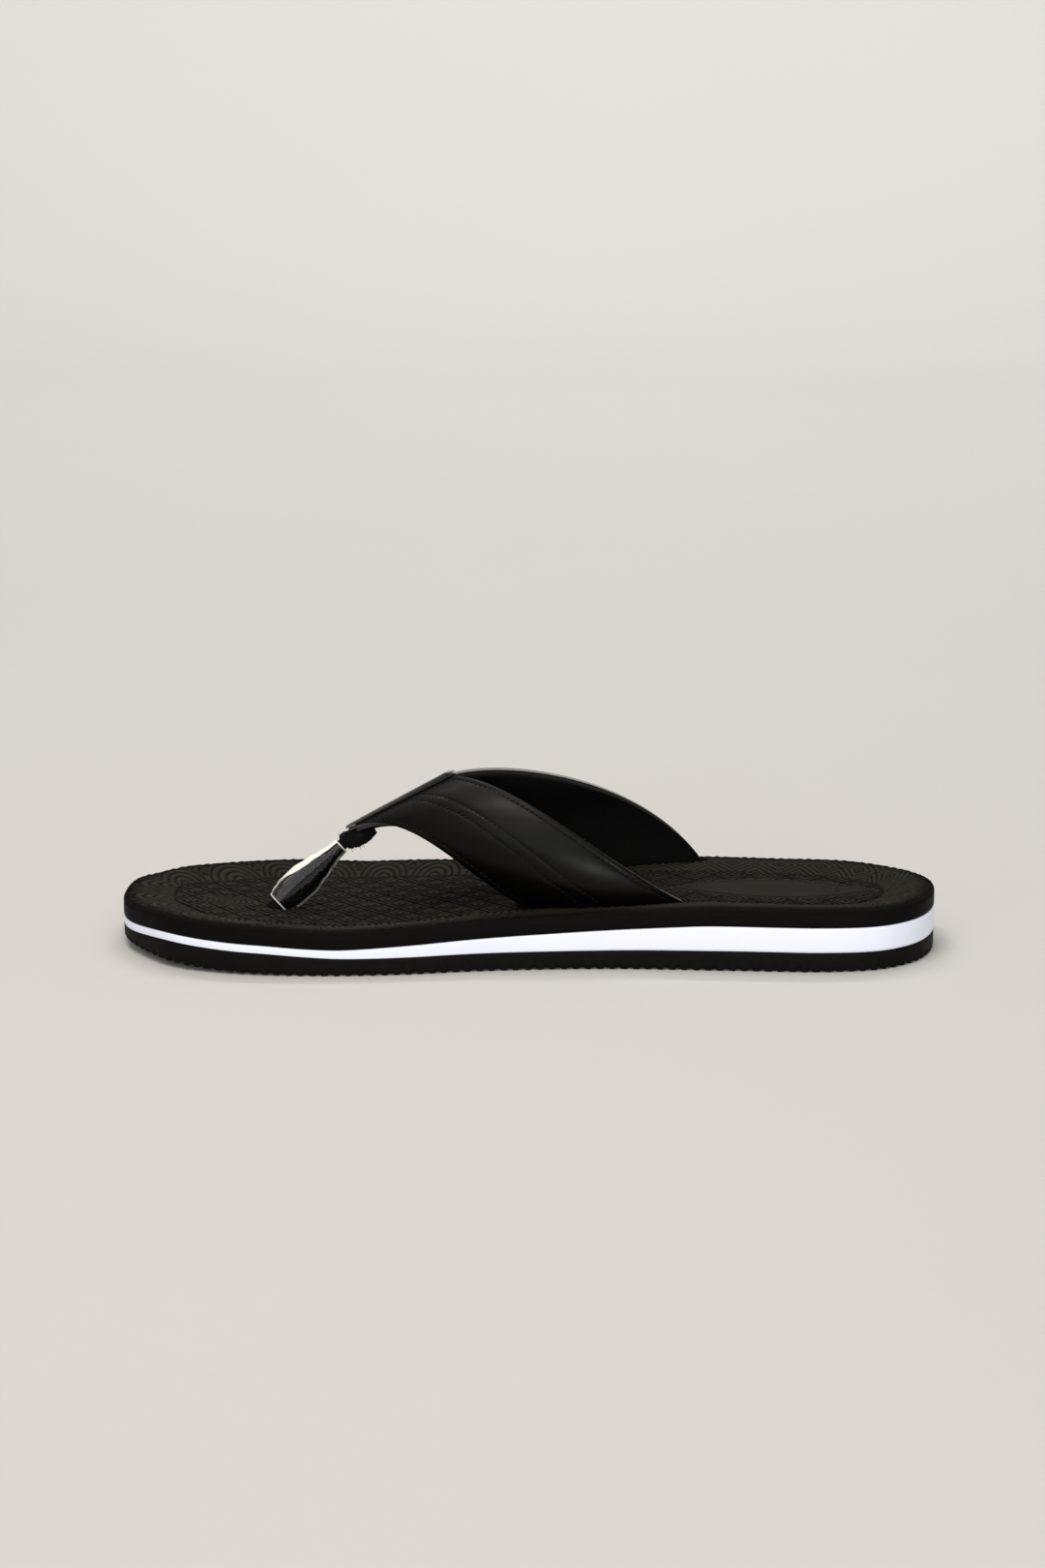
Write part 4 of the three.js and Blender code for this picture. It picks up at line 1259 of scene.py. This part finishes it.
    def webbing(self) -> None:
        """Makes the woven band, with its folds and twill as relief, and the bundle at its top."""
        bm = bmesh.new()
        layer = bm.loops.layers.uv.new("UVMap")
        count = self.webbing_sides
        angle = ring_angles(count)
        rings = []
        for t in np.linspace(-0.13, 1.035, 110):
            room = self.half_width(self.sleeve_rows, min(max(t, 0.0), 1.0)) - self.wall - self.play
            slack = self.half_width(self.slack_rows, t)
            half = room - slack / 2
            twill = np.cos(angle * 11 + t * self.length / (0.3 * MM))
            fold = np.cos(angle * 5 + 0.6 + t * 4)
            ring = self.ring(t * self.length, half, self.webbing_depth, count)
            centre = self.foot + self.axis * t * self.length
            shaped = centre + (ring - centre) * (0.985 + 0.012 * twill + 0.03 * fold)[:, None]
            rings.append(shaped - self.wide * slack / 2 * self.lean)
        rings += [self.knob_ring(share, count) for share in np.linspace(0.0, 1, 30)]
        loft(bm, rings)
        for bm_face in bm.faces:
            for corner in bm_face.loops:
                offset = np.array(corner.vert.co) - self.foot
                around = math.atan2(offset @ self.across * 2, offset @ self.wide)
                corner[layer].uv = (offset @ self.axis, around * 4 * MM)
        self.fray(bm)
        Piece(
            "toe_webbing", [WEBBING_CLOTH], Slot.WEBBING, ("toe_post_webbing",), crease=70
        ).make(bm)

    def fray(self, bm: bmesh.types.BMesh) -> None:
        """Adds the loose thread ends that stick out of the bundle."""
        dice = np.random.default_rng(7)
        angle = ring_angles(5)
        for _ in range(self.fray_count):
            share = dice.uniform(0.05, 0.95)
            ring = self.knob_ring(share, 36)
            spot = ring[dice.integers(36)]
            centre = ring.mean(axis=0)
            out = unit(spot - centre + dice.normal(0, 0.6 * MM, 3))
            curl = dice.normal(0, 0.5, 3)
            size = dice.uniform(*self.fray_length) * MM
            across = unit(np.cross(out, self.wide + 0.1))
            other = np.cross(out, across)
            rings = []
            for t in np.linspace(0, 1, 5):
                place = spot + out * size * (t - 0.15) + curl * size * t * t * 0.35
                thick = self.fray_radius * (1 - 0.5 * t)
                rings.append(oval(place, angle, across, thick, other, thick))
            loft(bm, rings)

    def build(self) -> None:
        """Makes the webbing and the sleeve, and dresses the anchor."""
        self.webbing()
        self.sleeve()
        anchor = frame["nodes"]["toe_post_anchor"]
        anchor.data.materials.clear()
        anchor.data.materials.append(ANCHOR_PLASTIC.material())
        log.info("toe_post_anchor: dressed")


# ------------------------------------------------------------------ sole plates
@dataclass
class Footbed:
    """The moulded footbed: a raised rim around a dish, with a pressed pattern."""

    survey: SoleSurvey
    leaves: Sequence[StrapLeaf]
    post: ToePost
    grid: tuple[int, int] = (540, 176)
    rim_flat: float = 1.4 * MM
    band: float = 16.5 * MM
    motif: float = 21 * MM
    heel_motif: float = 16.6 * MM
    panel_at: tuple[float, float] = (86 * MM, -2 * MM)
    panel_half: tuple[float, float] = (35 * MM, 11.5 * MM)
    panel_margin: float = 1.4 * MM
    frame_at: float = 106 * MM
    frame_half: tuple[float, float] = (2.2 * MM, 4 * MM)
    rosette_at: tuple[float, float] = (-104 * MM, -10 * MM)
    rosette_reach: float = 9.4 * MM
    rosette_squash: float = 1.5
    rosette_step: float = 2 * MM
    arch_step: float = 2.3 * MM
    groove: float = 0.55 * MM
    line: float = 0.46 * MM
    dot: float = 0.8 * MM
    soft_edge: float = 0.6 * MM
    rim_wave: float = 0.22
    rim_wave_pitch: float = 3.3 * MM
    rim_swing_pitch: float = 11 * MM
    pit_depth: float = 4.2 * MM
    slot_half: float = 2.35 * MM
    dimple_half: tuple[float, float] = (4.6 * MM, 3.6 * MM)
    wall_bulge: float = 0.05 * MM

    def rings(self, radius: np.ndarray, step: float) -> np.ndarray:
        """Grooves at every step of a radius."""
        return dent((radius / step - np.round(radius / step)) * step, self.line)

    def rim_motif(self, inset: np.ndarray, run: np.ndarray) -> np.ndarray:
        """Nested arches that stand on the dish's border, with dotted triangles between."""
        count = round(self.survey.girth / self.motif)
        step = self.survey.girth / count
        along = (run / step - np.floor(run / step) - 0.5) * step
        base = self.rim_flat + self.band
        up = base - inset
        radius = np.hypot(along, up * 0.62)
        inside = radius < step * 0.49
        rings = self.rings(radius, self.arch_step)
        beside = step / 2 - np.abs(along)
        height = inset - self.rim_flat
        spike = np.abs(beside - height * 0.35)
        chevron = dent(spike - 1.2 * MM, self.line) + dent(spike - 2.9 * MM, self.line)
        return np.where(inside, rings, np.clip(chevron, 0, 1))

    def rim_diamonds(self, inset: np.ndarray, run: np.ndarray) -> np.ndarray:
        """Large nested diamonds, end to end along the heel's slope."""
        step = self.survey.girth / round(self.survey.girth / self.heel_motif)
        along = np.abs(run / step - np.floor(run / step) - 0.5) * 2
        across = np.abs(inset - self.rim_flat - self.band / 2) / (self.band / 2)
        size = (along + across - 1) * step * 0.36
        lines = sum(dent(size - at * MM, self.line) for at in (0.0, -2.1, -4.2, 2.1, 4.2))
        centre = np.hypot(along * step / 2, across * self.band / 2)
        return np.clip(lines + dent(centre, self.dot), 0, 1)

    def diamonds(self, x: np.ndarray, y: np.ndarray, size: tuple[float, float]) -> np.ndarray:
        """Diamonds side by side, each with an inner outline and a pierced centre."""
        fa = (x / size[0] + y / size[1]) / 2 % 1.0 - 0.5
        fb = (x / size[0] - y / size[1]) / 2 % 1.0 - 0.5
        side = float(np.hypot(*size)) * 0.99
        edge = (0.5 - np.maximum(np.abs(fa), np.abs(fb))) * side
        lines = dent(edge, self.line) + 0.55 * dent(edge - side * 0.17, self.line * 0.7)
        return np.clip(lines + dent(side * 0.5 - edge, self.dot), 0, 1)

    @staticmethod
    def heelward(x: np.ndarray) -> np.ndarray:
        """Where the forefoot's pattern, at 0, gives way to the heel's, at 1."""
        return smooth((x - 2 * MM) / (4 * MM) + 0.5)

    @staticmethod
    def outer_dip(x: np.ndarray, y: np.ndarray, inset: np.ndarray) -> np.ndarray:
        """How far the outer side's rim is worn below the inner side's."""
        heel = smooth((x + 5 * MM) / (25 * MM)) * smooth((118 * MM - x) / (30 * MM))
        near_rim = smooth((14 * MM - inset) / (12 * MM))
        return (0.35 + 0.75 * heel) * MM * near_rim * smooth(y / (25 * MM))

    def panel(self, x: np.ndarray, y: np.ndarray) -> np.ndarray:
        """Distance out from the heel panel's leaf-shaped border, in metres."""
        px = (x - self.panel_at[0]) / self.panel_half[0]
        py = (y - self.panel_at[1]) / self.panel_half[1]
        return (np.abs(py) + px * px - 1) * self.panel_half[1]

    def rosette(self, x: np.ndarray, y: np.ndarray) -> np.ndarray:
        """Distance out from the middle of the flattened rosette ahead of the toe post."""
        return np.hypot(x - self.rosette_at[0], (y - self.rosette_at[1]) * self.rosette_squash)

    def plain(self, x: np.ndarray, y: np.ndarray, inset: np.ndarray) -> np.ndarray:
        """Where the field of diamonds is, from 0 to 1."""
        inside = smooth((inset - self.rim_flat - self.band) / self.soft_edge)
        off_rosette = smooth((self.rosette(x, y) - self.rosette_reach) / self.soft_edge)
        off_panel = smooth((self.panel(x, y) - self.panel_margin) / self.soft_edge)
        return inside * off_rosette * off_panel

    def pressed(
        self, x: np.ndarray, y: np.ndarray, inset: np.ndarray, run: np.ndarray
    ) -> np.ndarray:
        """How deep the pattern is pressed at each point, from 0 to 1."""
        base = self.rim_flat + self.band
        field = self.heelward(x)
        inner = self.diamonds(x, y, FORE_DIAMOND) * (1 - field)
        inner += self.diamonds(x, y, HEEL_DIAMOND) * field
        lens = self.rosette(x, y)
        inner = np.where(lens < self.rosette_reach, self.rings(lens, self.rosette_step), inner)
        leaf = self.panel(x, y)
        box = np.maximum(
            np.abs(x - self.frame_at) - self.frame_half[0],
            np.abs(y - self.panel_at[1]) - self.frame_half[1],
        )
        plain = dent(leaf, self.line * 1.3) + 0.5 * dent(box, self.line * 0.8)
        inner = np.where(leaf < self.panel_margin, np.clip(plain, 0, 1), inner)
        band = self.rim_motif(inset, run) * (1 - field) + self.rim_diamonds(inset, run) * field
        lines = np.where(inset > base, inner, band)
        lines = np.maximum(lines, dent(inset - base, self.line * 1.2))
        lines = np.maximum(lines, dent(inset - self.rim_flat, self.line))
        return np.where(inset < self.rim_flat - 0.5 * MM, 0, lines)

    def wave(self, run: np.ndarray, pitch: float, phase: float = 0.0) -> np.ndarray:
        """A whole number of waves round the sole, each about one pitch long."""
        count = round(self.survey.girth / pitch)
        return np.cos(2 * np.pi * run / self.survey.girth * count + phase)

    def top(self, plan: np.ndarray, inset: np.ndarray, run: np.ndarray) -> np.ndarray:
        """Height of the top before the pattern: dish, rounded edge, uneven rim and worn side."""
        x, y = plan[:, 0], plan[:, 1]
        z = self.survey.footbed_top(x, inset)
        short = np.clip(self.survey.edge_round - inset, 0, None)
        z -= self.survey.edge_round - np.sqrt(np.maximum(self.survey.edge_round**2 - short**2, 0))
        beat = self.wave(run, self.rim_wave_pitch)
        swing = self.wave(run, self.rim_swing_pitch, 1.0)
        uneven = (self.rim_wave * beat * (0.6 + 0.4 * swing) - 0.1) * MM
        return z + uneven * dent(inset - 1.6 * MM, 1.8 * MM) - self.outer_dip(x, y, inset)

    def build(self) -> None:
        """Presses the pattern into the top and grows the wall down to the midsole."""
        bm = bmesh.new()
        relief, fore, heel = (
            bm.verts.layers.float.new(name) for name in ("relief", "fore", "heel")
        )
        verts = bmesh.ops.create_grid(
            bm, x_segments=self.grid[0], y_segments=self.grid[1], size=1.0
        )["verts"]
        plan = self.survey.spread(0.0)(np.array([vert.co[:2] for vert in verts]))
        inset, run, _ = self.survey.locate(plan)
        x, y = plan[:, 0], plan[:, 1]
        lines, pit = self.pressed(x, y, inset, run), self.pits(plan)
        z = self.top(plan, inset, run) - self.groove * lines - pit * self.pit_depth
        put(verts, np.column_stack([plan, z]))
        open_field = self.plain(x, y, inset) * (1 - pit)
        # rub_and_shade drives colour and gloss; its colour part is painted shade, darker towards
        # the rim's edge, in the pressed lines and in the slots and dimple; the heel panel is its
        # own darker, smoother face
        rub_and_shade = 0.86 - 0.74 * smooth((7 * MM - inset) / (6 * MM))
        rub_and_shade -= 0.36 * smooth(-self.panel(x, y) / MM)
        rub_and_shade *= (1 - lines * (1 - 0.25 * open_field)) * (1 - pit)
        heelward = self.heelward(x)
        values = (rub_and_shade, open_field * (1 - heelward), open_field * heelward)
        for vert, *found in zip(verts, *values):
            vert[relief], vert[fore], vert[heel] = found
        upper = set(bm.faces)
        wall = Wall(bm, self.survey)
        rim, low = self.survey.rim_top(wall.x), self.survey.midsole_top(wall.x) + 0.05 * MM
        for part in (0.35, 0.75):
            drop = (rim - low - 2 * MM) * part
            wall.grow(-self.wall_bulge * part, rim - self.survey.edge_round - drop)
        wall.grow(0.0, low + 0.3 * MM)
        wall.grow(0.28 * MM, low)
        wall.close()
        for bm_face in bm.faces:
            bm_face.material_index = 0 if bm_face in upper else 1
        Piece(
            "footbed_pad", [FOOTBED_FOAM, WALL_FOAM], Slot.FOOTBED, ("footbed",), crease=75
        ).make(bm)

    def pits(self, plan: np.ndarray) -> np.ndarray:
        """Where the strap's slots and the post's dimple are, from 0 to 1."""
        tree = plan_tree(np.concatenate([leaf.foot_line() for leaf in self.leaves]))
        away = np.array([tree.find((p[0], p[1], 0.0))[2] for p in plan])
        slot = smooth((self.slot_half - away) / self.soft_edge)
        middle = self.post.foot + self.post.axis * 0.7 * MM
        offset = (plan - middle[:2]) / self.dimple_half
        dimple = smooth((1.12 - np.hypot(offset[:, 0], offset[:, 1])) / 0.25)
        return np.maximum(slot, dimple)


@dataclass
class Midsole:
    """The white foam wedge between footbed and outsole."""

    survey: SoleSurvey
    segments: int = 900
    bulge: float = 0.12 * MM
    nip: float = 0.25 * MM

    def build(self) -> None:
        """Grows the wall from a ring of the outline and closes both faces."""
        bm = bmesh.new()
        verts = bmesh.ops.create_circle(bm, segments=self.segments, radius=1.0)["verts"]
        at = np.linspace(0, self.survey.girth, self.segments, endpoint=False)
        ring = np.column_stack([
            np.interp(at, self.survey.run, self.survey.loop[:, i], period=self.survey.girth)
            for i in (0, 1)
        ])
        put(verts, np.column_stack([ring, ring[:, 0] * 0]))
        wall = Wall(bm, self.survey)
        start = list(wall.loop)
        low, high = self.survey.outsole_top(wall.x), self.survey.midsole_top(wall.x)
        wall.shift(self.nip, low)
        for part in (0.04, 0.12, 0.35, 0.65, 0.88, 0.96):
            belly = 4 * part * (1 - part) * self.bulge
            wall.grow(-belly, low + (high - low) * part)
        wall.grow(self.nip, high)
        bmesh.ops.triangle_fill(bm, use_beauty=True, edges=start)
        wall.close()
        Piece("midsole_wedge", [MIDSOLE_FOAM], Slot.FOAM, ("midsole",), crease=50).make(bm)


@dataclass
class Outsole:
    """The black rubber outsole with a ribbed tread."""

    survey: SoleSurvey
    grid: tuple[int, int] = (420, 150)
    pitch: float = 4.1 * MM
    depth: float = 0.8 * MM
    band: float = 7 * MM
    margin: float = 0.9 * MM
    bar_pitch: float = 5.2 * MM
    zigzag: tuple[float, float] = (14 * MM, 5 * MM)
    plain_at: float = 20 * MM
    plain_reach: float = 24 * MM
    tooth: float = 0.45
    tooth_rise: float = 0.55
    lip: float = 3.1 * MM
    # height over the ground, inset, and how much of a tooth is left, in millimetres
    levels: tuple[tuple[float, float, float], ...] = (
        (0.2, 0.4, 1.0), (0.6, 0.1, 0.85), (1.3, 0.0, 0.5), (2.3, 0.0, 0.12),
    )

    def tread(
        self, x: np.ndarray, y: np.ndarray, inset: np.ndarray, run: np.ndarray
    ) -> np.ndarray:
        """How deep the tread is cut at each point, from 0 to 1."""
        count = round(self.survey.girth / self.pitch)
        edge = 0.5 - 0.5 * np.cos(2 * np.pi * run / self.survey.girth * count)
        zig = np.abs((y / self.zigzag[0]) % 1.0 - 0.5) * 2 * self.zigzag[1]
        inner = 0.5 - 0.5 * np.cos(2 * np.pi * (x + zig) / self.bar_pitch)
        inner = smooth((inner - 0.35) / 0.4)
        edge = smooth((edge - 0.3) / 0.45)
        field = smooth((inset - self.band) / (0.8 * MM))
        gutter = dent(inset - self.band, 0.9 * MM)
        arch = np.exp(-(((x - self.plain_at) / self.plain_reach) ** 4))
        plain = smooth((inset - self.band - 3 * MM) / (2 * MM)) * arch
        return np.maximum(edge * (1 - field) + inner * field * (1 - plain), gutter)

    def build(self) -> None:
        """Cuts the tread into the underside and grows the wall up to the midsole."""
        bm = bmesh.new()
        verts = bmesh.ops.create_grid(
            bm, x_segments=self.grid[0], y_segments=self.grid[1], size=1.0
        )["verts"]
        place = self.survey.spread(self.margin)
        plan = place(np.array([vert.co[:2] for vert in verts]))
        inset, run, _ = self.survey.locate(plan)
        cut = self.tread(plan[:, 0], plan[:, 1], inset, run)
        z = self.survey.ground(plan[:, 0]) + cut * self.depth
        put(verts, np.column_stack([plan, z]))
        wall = Wall(bm, self.survey)
        ground, top = self.survey.ground(wall.x), self.survey.outsole_top(wall.x)
        at_edge = np.full_like(wall.run, 0.5 * MM)
        cut = self.tread(wall.home[:, 0], wall.home[:, 1], at_edge, wall.run)
        for rise, inset_at, share in self.levels:
            wall.grow(
                (inset_at + self.tooth * share * cut) * MM,
                ground + (rise + self.tooth_rise * share * cut) * MM,
            )
        lip = ground + self.lip
        for part in (0.2, 0.6, 0.93):
            wall.grow(0.0, lip + (top - lip) * part)
        wall.grow(0.25 * MM, top)
        wall.close()
        Piece("outsole_plate", [SOLE_RUBBER], Slot.RUBBER, ("outsole",), crease=60).make(bm)


# ------------------------------------------------------------------ studio
@dataclass(frozen=True)
class Lamp:
    """A soft rectangular light: where it hangs, its size, its power and where it points."""

    name: str
    place: tuple[float, float, float]
    size: tuple[float, float]
    power: float
    aim: tuple[float, float, float] = (0, 0, 0.02)
    tint: tuple[float, float, float] = (1, 1, 1)

    def hang(self) -> None:
        """Adds the light to the scene."""
        data = bpy.data.lights.new(self.name, "AREA")
        data.shape = "RECTANGLE"
        data.size, data.size_y = self.size
        data.energy = self.power
        data.color = self.tint
        lamp = bpy.data.objects.new(self.name, data)
        bpy.context.scene.collection.objects.link(lamp)
        lamp.location = self.place
        aim = Vector(self.aim) - Vector(self.place)
        lamp.rotation_euler = aim.to_track_quat("-Z", "Y").to_euler()


LAMPS = (
    Lamp("front_fill", (-0.4, -2.9, 1.3), (3.0, 2.0), 26.0),
    Lamp("window", (0.4, -1.4, 0.12), (0.2, 0.16), 4.0, aim=(-0.08, 0, 0.02)),
    Lamp("sheen_strip", (-0.2, -0.5, 1.3), (0.6, 0.2), 7.0, tint=(1.0, 0.93, 0.85)),
    Lamp("top_softbox", (-0.1, 0.15, 1.2), (1.2, 0.8), 3.6, tint=(1.0, 0.96, 0.9)),
    Lamp("near_floor", (0.0, -0.85, 0.9), (1.6, 0.3), 3.0, aim=(0, -0.8, 0)),
    Lamp("backdrop_wash", (0.0, 1.2, 2.2), (2.4, 0.6), 56.0, aim=(0, 2.6, 0.6)),
)


@dataclass
class Studio:
    """The floor, the lights and the camera."""

    azimuth: float = 2.4
    elevation: float = 15.0
    distance: float = 1.296
    target: tuple[float, float, float] = (0.0, -0.00565, 0.015)
    rise: float = 41 * MM
    left: float = 1.75 * MM
    lens: float = 85.0
    floor_half: float = 4.0
    floor_end: float = 1.6
    sweep_radius: float = 0.9
    sweep_turn: float = 85.0
    air: tuple[float, float, float, float] = (1.0, 0.99, 0.98, 1.0)
    air_strength: float = 0.42

    def camera(self) -> None:
        """Places the camera low at the inner side, looking a little over the sandal."""
        az, el = math.radians(self.azimuth), math.radians(self.elevation)
        away = Vector((math.sin(az) * math.cos(el), -math.cos(az) * math.cos(el), math.sin(el)))
        target = Vector(self.target)
        place = target + away * self.distance
        right = Vector((math.cos(az), math.sin(az), 0))
        up = right.cross(-away)
        aim = target + up * self.rise - right * self.left
        data = bpy.data.cameras.new("camera")
        data.lens, data.sensor_width = self.lens, 36.0
        data.clip_start, data.clip_end = 0.01, 50.0
        camera = bpy.data.objects.new("camera", data)
        bpy.context.scene.collection.objects.link(camera)
        camera.location = place
        camera.rotation_euler = (aim - place).to_track_quat("-Z", "Y").to_euler()
        bpy.context.scene.camera = camera

    def floor(self) -> None:
        """Lays the paper: flat under the sandal, then swept up behind it."""
        bm = bmesh.new()
        verts = bmesh.ops.create_grid(
            bm, x_segments=2, y_segments=1, size=self.floor_half
        )["verts"]
        far = [edge for edge in bm.edges if all(vert.co.y > 1.0 for vert in edge.verts)]
        for vert in verts:
            vert.co.y = self.floor_end if vert.co.y > 1.0 else -self.floor_half
        bmesh.ops.spin(
            bm, geom=far, cent=(0, self.floor_end, self.sweep_radius), axis=(1, 0, 0),
            angle=math.radians(self.sweep_turn), steps=16,
        )
        bmesh.ops.recalc_face_normals(bm, faces=bm.faces)
        mesh = bpy.data.meshes.new("studio_floor")
        bm.to_mesh(mesh)
        bm.free()
        mesh.polygons.foreach_set("use_smooth", [True] * len(mesh.polygons))
        floor = bpy.data.objects.new("studio_floor", mesh)
        bpy.context.scene.collection.objects.link(floor)
        mesh.materials.append(FLOOR_PAPER.material())

    def build(self) -> None:
        """Sets up the whole studio."""
        self.floor()
        world = bpy.data.worlds.new("studio")
        bpy.context.scene.world = world
        world.use_nodes = True
        background = world.node_tree.nodes["Background"]
        background.inputs["Color"].default_value = self.air
        background.inputs["Strength"].default_value = self.air_strength
        bpy.context.scene.view_settings.view_transform = "Standard"
        for lamp in LAMPS:
            lamp.hang()
        self.camera()
        log.info("studio: floor, %d lights and a camera", len(LAMPS))


def main() -> None:
    """Builds the sandal in order, from the sole up."""
    logging.basicConfig(level=logging.INFO, format="%(message)s", stream=sys.stdout)
    survey = SoleSurvey()
    medial = StrapLeaf(
        Side.MEDIAL, survey,
        front_base=(-2 * MM, 24 * MM), rear_base=(54.5 * MM, 16.5 * MM),
        front_pull=((0.36, 1.1, 0.56), (0.72, 2.1, -0.52)),
        rear_pull=((0.27, 1.07, 0.19), (0.66, 1.75, -0.54)), bow=7 * MM,
    )
    lateral = StrapLeaf(
        Side.LATERAL, survey,
        front_base=(2 * MM, 22 * MM), rear_base=(60 * MM, 5 * MM),
        front_pull=((0.36, 0.8, 0.54), (0.72, 1.35, -0.45)),
        rear_pull=((0.17, 0.56, 0.06), (0.73, 1.22, -0.185)), bow=3 * MM,
    )
    post = ToePost(medial)
    Outsole(survey).build()
    Midsole(survey).build()
    Footbed(survey, (medial, lateral), post).build()
    medial.build()
    lateral.build()
    RidgeStrip(medial, lateral).build()
    post.build()
    Studio().build()


if __name__ == "__main__":
    main()
